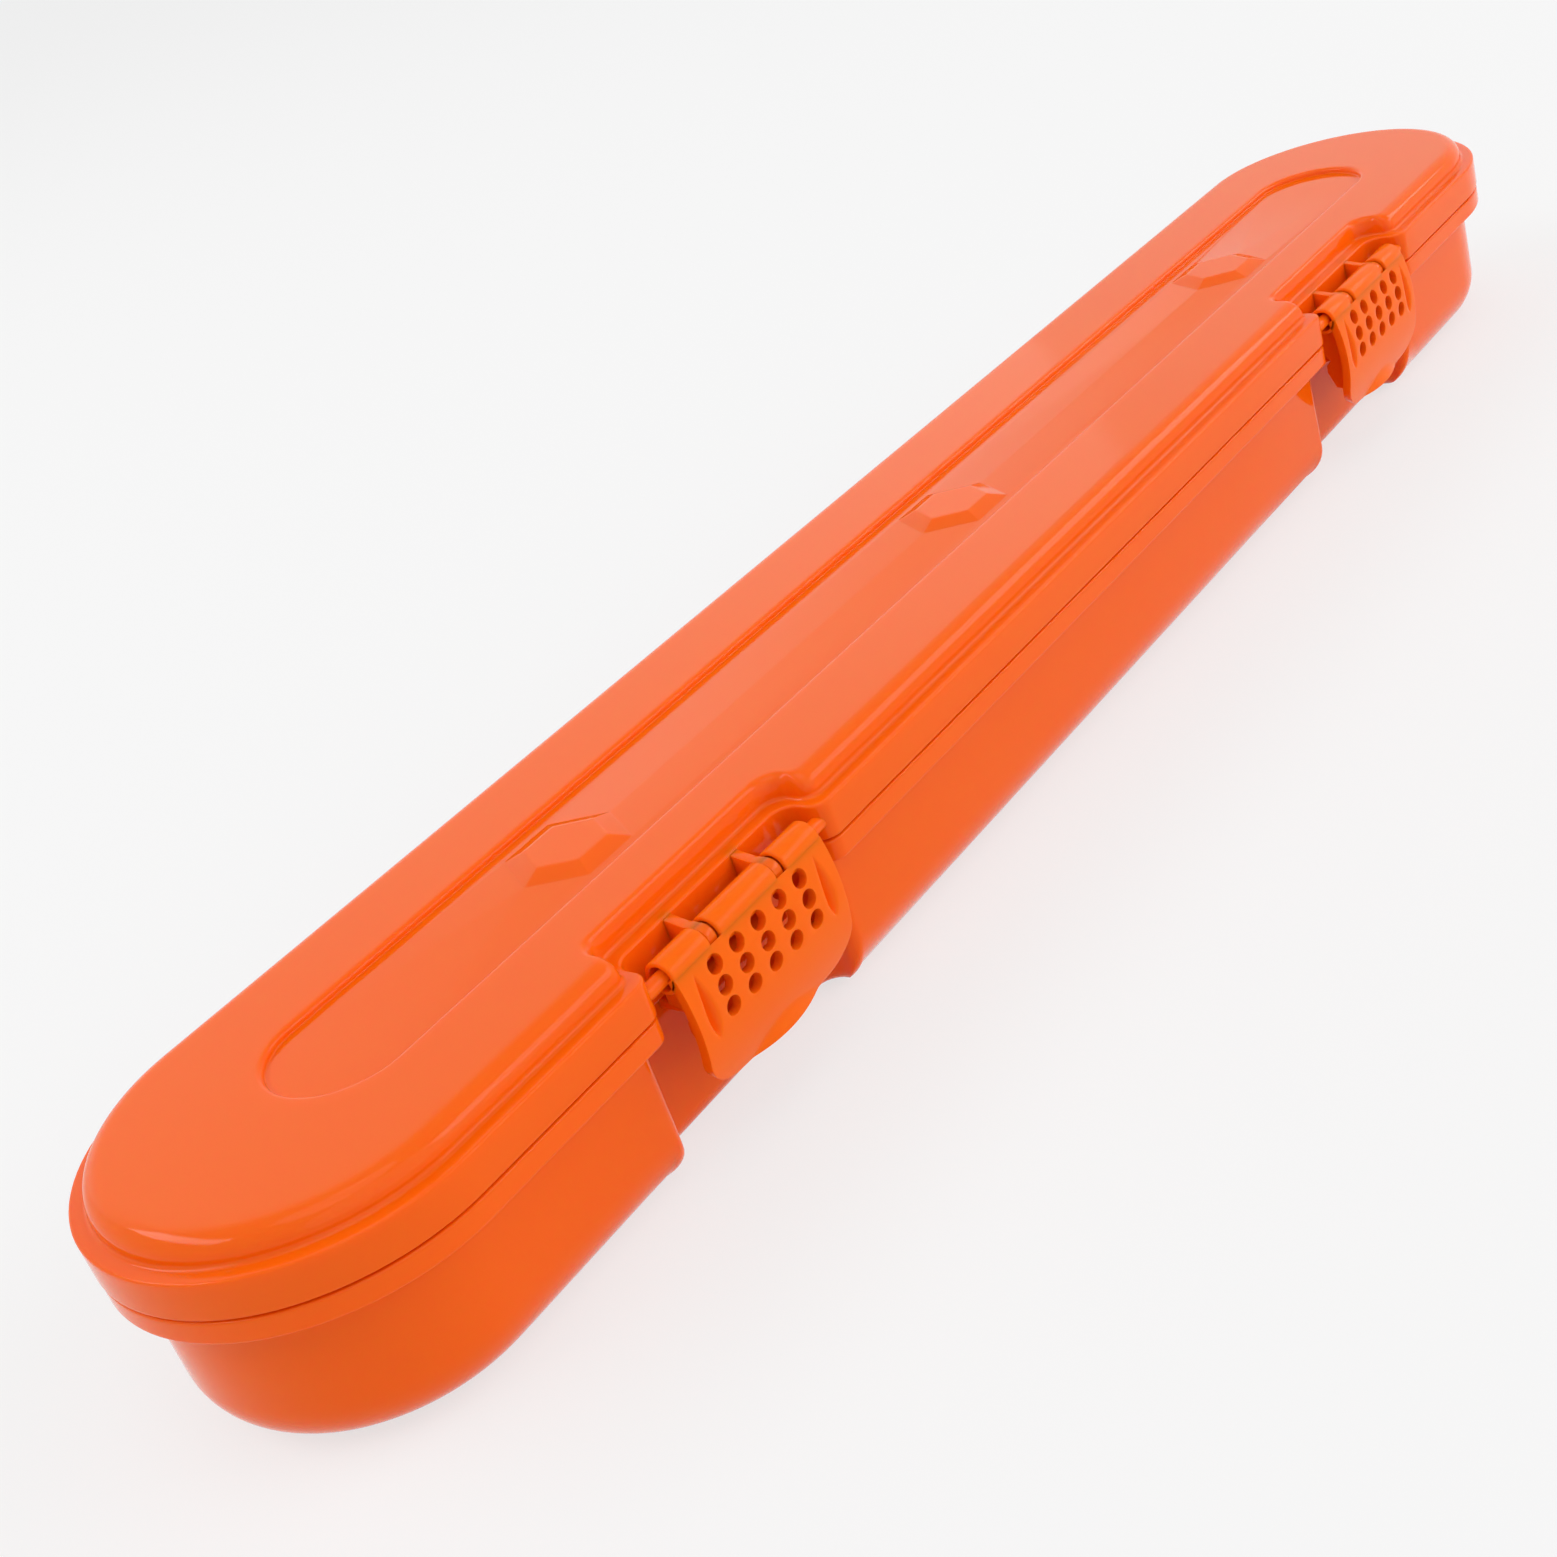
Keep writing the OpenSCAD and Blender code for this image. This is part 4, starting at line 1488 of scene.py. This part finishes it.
@dataclass
class Studio:
    """Pale floor, soft lamps and the camera at the photograph's angle.

    Attributes:
        camera_at: Place of the camera in metres.
        right: Direction to the camera's right.
        up: Direction up in the picture.
        lens: Focal length on a sensor 36 mm wide.
        pale: Colour of the floor and the background.
        bounce: Colour with which the floor lights the box.
        glow: Share of the floor's pale colour that no shadow takes away.
        sky: Strength of the world overhead.
        horizon: Strength of the world at the horizon.
        sky_from: Height, as a share of straight up, from which the world is as strong as overhead.
        dim_side: Direction of the side that is darker, behind the camera.
        dim_from: How near that direction the darker side begins, where 1 is straight at it.
        dim: Share of the world's light that is left there.
        floor_r: Radius of the floor in metres.
    """

    camera_at: Triple = (-0.35554, -0.27486, 0.22568)
    right: Triple = (0.5637, -0.77379, -0.28896)
    up: Triple = (0.53499, 0.07549, 0.84148)
    lens: float = 49.04
    pale: Triple = (0.92, 0.92, 0.92)
    bounce: Triple = (0.84, 0.84, 0.84)
    glow: float = 0.75
    sky: float = 0.4
    horizon: float = 1.0
    sky_from: float = 0.7
    dim_side: Triple = (-0.79, -0.61, 0.0)
    dim_from: float = 0.3
    dim: float = 0.4
    floor_r: float = 6.0

    def camera(self) -> None:
        """Add the camera."""
        data = bpy.data.cameras.new("camera")
        data.lens = self.lens
        data.sensor_width = 36.0
        data.clip_start = 0.01
        camera = add_object("camera", data)
        right = Vector(self.right).normalized()
        up = Vector(self.up).normalized()
        turn = Matrix((right, up, right.cross(up))).transposed()
        camera.matrix_world = Matrix.Translation(self.camera_at) @ turn.to_4x4()
        bpy.context.scene.camera = camera

    def lamp(self, name: str, kind: str, towards: Triple, energy: float) -> bpy.types.Object:
        """Add a lamp that shines on the box.

        Args:
            name: Name of the lamp.
            kind: Kind of lamp.
            towards: Direction in which the lamp lies.
            energy: How strong it is.

        Returns:
            The lamp.
        """
        lamp = add_object(name, bpy.data.lights.new(name, kind))
        lamp.data.energy = energy
        lamp.rotation_euler = (-Vector(towards)).to_track_quat("-Z", "Y").to_euler()
        return lamp

    def sun(self, name: str, towards: Triple, strength: float, spread: float) -> None:
        """Add a broad lamp that lights the box and the floor evenly.

        Args:
            name: Name of the lamp.
            towards: Direction in which the lamp lies.
            strength: Strength of its light.
            spread: Width of the lamp in degrees.
        """
        self.lamp(name, "SUN", towards, strength).data.angle = math.radians(spread)

    def softbox(self, name: str, place: Triple, size: Pair, power: float) -> None:
        """Add a rectangular softbox that faces the box.

        Args:
            name: Name of the softbox.
            place: Its middle in metres.
            size: Width and height in metres.
            power: Power in watts.
        """
        lamp = self.lamp(name, "AREA", place, power)
        lamp.location = place
        lamp.data.shape = "RECTANGLE"
        lamp.data.size, lamp.data.size_y = size

    def floor(self) -> None:
        """Add the floor, which the camera sees in the background's colour but with the shadow."""
        bm = bmesh.new()
        bmesh.ops.create_circle(bm, cap_ends=True, radius=self.floor_r, segments=64)
        mesh = bpy.data.meshes.new("floor")
        bm.to_mesh(mesh)
        bm.free()
        made = Surface("pale_floor")
        seen = made.seen()
        made.set("Roughness", 0.9)
        made.set("Specular IOR Level", 0.0)
        made.link(made.mix(seen, self.bounce, self.pale), "Base Color")
        share = made.combine("MULTIPLY", seen, self.glow)
        glow = made.add("ShaderNodeEmission", {"Color": (*self.pale, 1.0)}, "Emission")
        plain = made.shader.outputs["BSDF"]
        both = made.add("ShaderNodeMixShader", {"Fac": share, 1: plain, 2: glow}, "Shader")
        made.feed(made.tree.nodes["Material Output"], {"Surface": both})
        mesh.materials.append(made.material)
        add_object("floor", mesh)

    def world(self) -> None:
        """Light the scene from all round, more from the horizon and less from behind the camera."""
        world = bpy.data.worlds.new("studio")
        bpy.context.scene.world = world
        world.use_nodes = True
        made = Nodes(world.node_tree)
        towards = made.tree.nodes.new("ShaderNodeTexCoord").outputs["Generated"]
        rise = made.add("ShaderNodeSeparateXYZ", {"Vector": towards}, "Z")
        height = made.remap(rise, (0.0, self.sky_from), (self.horizon, self.sky), smooth=True)
        turned = made.combine("DOT_PRODUCT", towards, self.dim_side, kind="ShaderNodeVectorMath")
        side = made.remap(turned, (self.dim_from, 1.0), (1.0, self.dim), smooth=True)
        light = made.combine("MULTIPLY", height, side)
        strength = made.remap(made.seen(), (0.0, 1.0), (light, self.pale[0]))
        made.feed(made.tree.nodes["Background"], {"Color": (1.0, 1.0, 1.0, 1.0), "Strength": strength})

    def build(self) -> None:
        """Build the studio."""
        self.camera()
        self.floor()
        self.world()
        self.sun("overhead", towards=(-0.15, -0.2, 0.95), strength=0.5, spread=40.0)
        self.sun("front", towards=(-0.15, -0.95, 0.25), strength=0.85, spread=80.0)
        self.sun("back", towards=(0.37, 0.79, 0.48), strength=0.25, spread=60.0)
        self.softbox("right_softbox", place=(1.5, -1.44, 1.2), size=(2.1, 0.9), power=17.0)
        self.softbox("left_softbox", place=(-1.28, 1.15, 1.7), size=(2.2, 0.5), power=17.0)
        bpy.context.scene.view_settings.view_transform = "Standard"


def main() -> None:
    """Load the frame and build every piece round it."""
    logging.basicConfig(level=logging.INFO, format="%(name)s: %(message)s")
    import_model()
    Studio().build()
    case = Case.from_frame()
    shell = Plastic("orange_shell", colour=(0.93, 0.127, 0.0025), deep=(0.92, 0.12, 0.002), roughness=0.055,
                    spread=0.012, grain=0.05, glow=0.5, depth=0.0028, gloss=0.15).build()
    latch = Plastic("orange_latch", colour=(0.95, 0.145, 0.0025), deep=(0.94, 0.135, 0.002), roughness=0.2,
                    spread=0.03, grain=0.1, glow=0.35, depth=0.0012, gloss=0.1).build()
    rod = Plastic("orange_rod", colour=(0.93, 0.135, 0.003), deep=(0.92, 0.125, 0.002), roughness=0.18,
                  spread=0.03, grain=0.06, glow=0.4, depth=0.0012, gloss=0.15).build()
    steel = Steel("drawn_steel", colour=(0.62, 0.63, 0.65), roughness=0.28).build()
    BaseTray(case, shell).build()
    Lid(case, shell).build()
    for name, side in NAMED_SIDES:
        Latch(case, latch, name, side * case.latch_x).build()
    Pins(case, rod, steel).build()


if __name__ == "__main__":
    main()
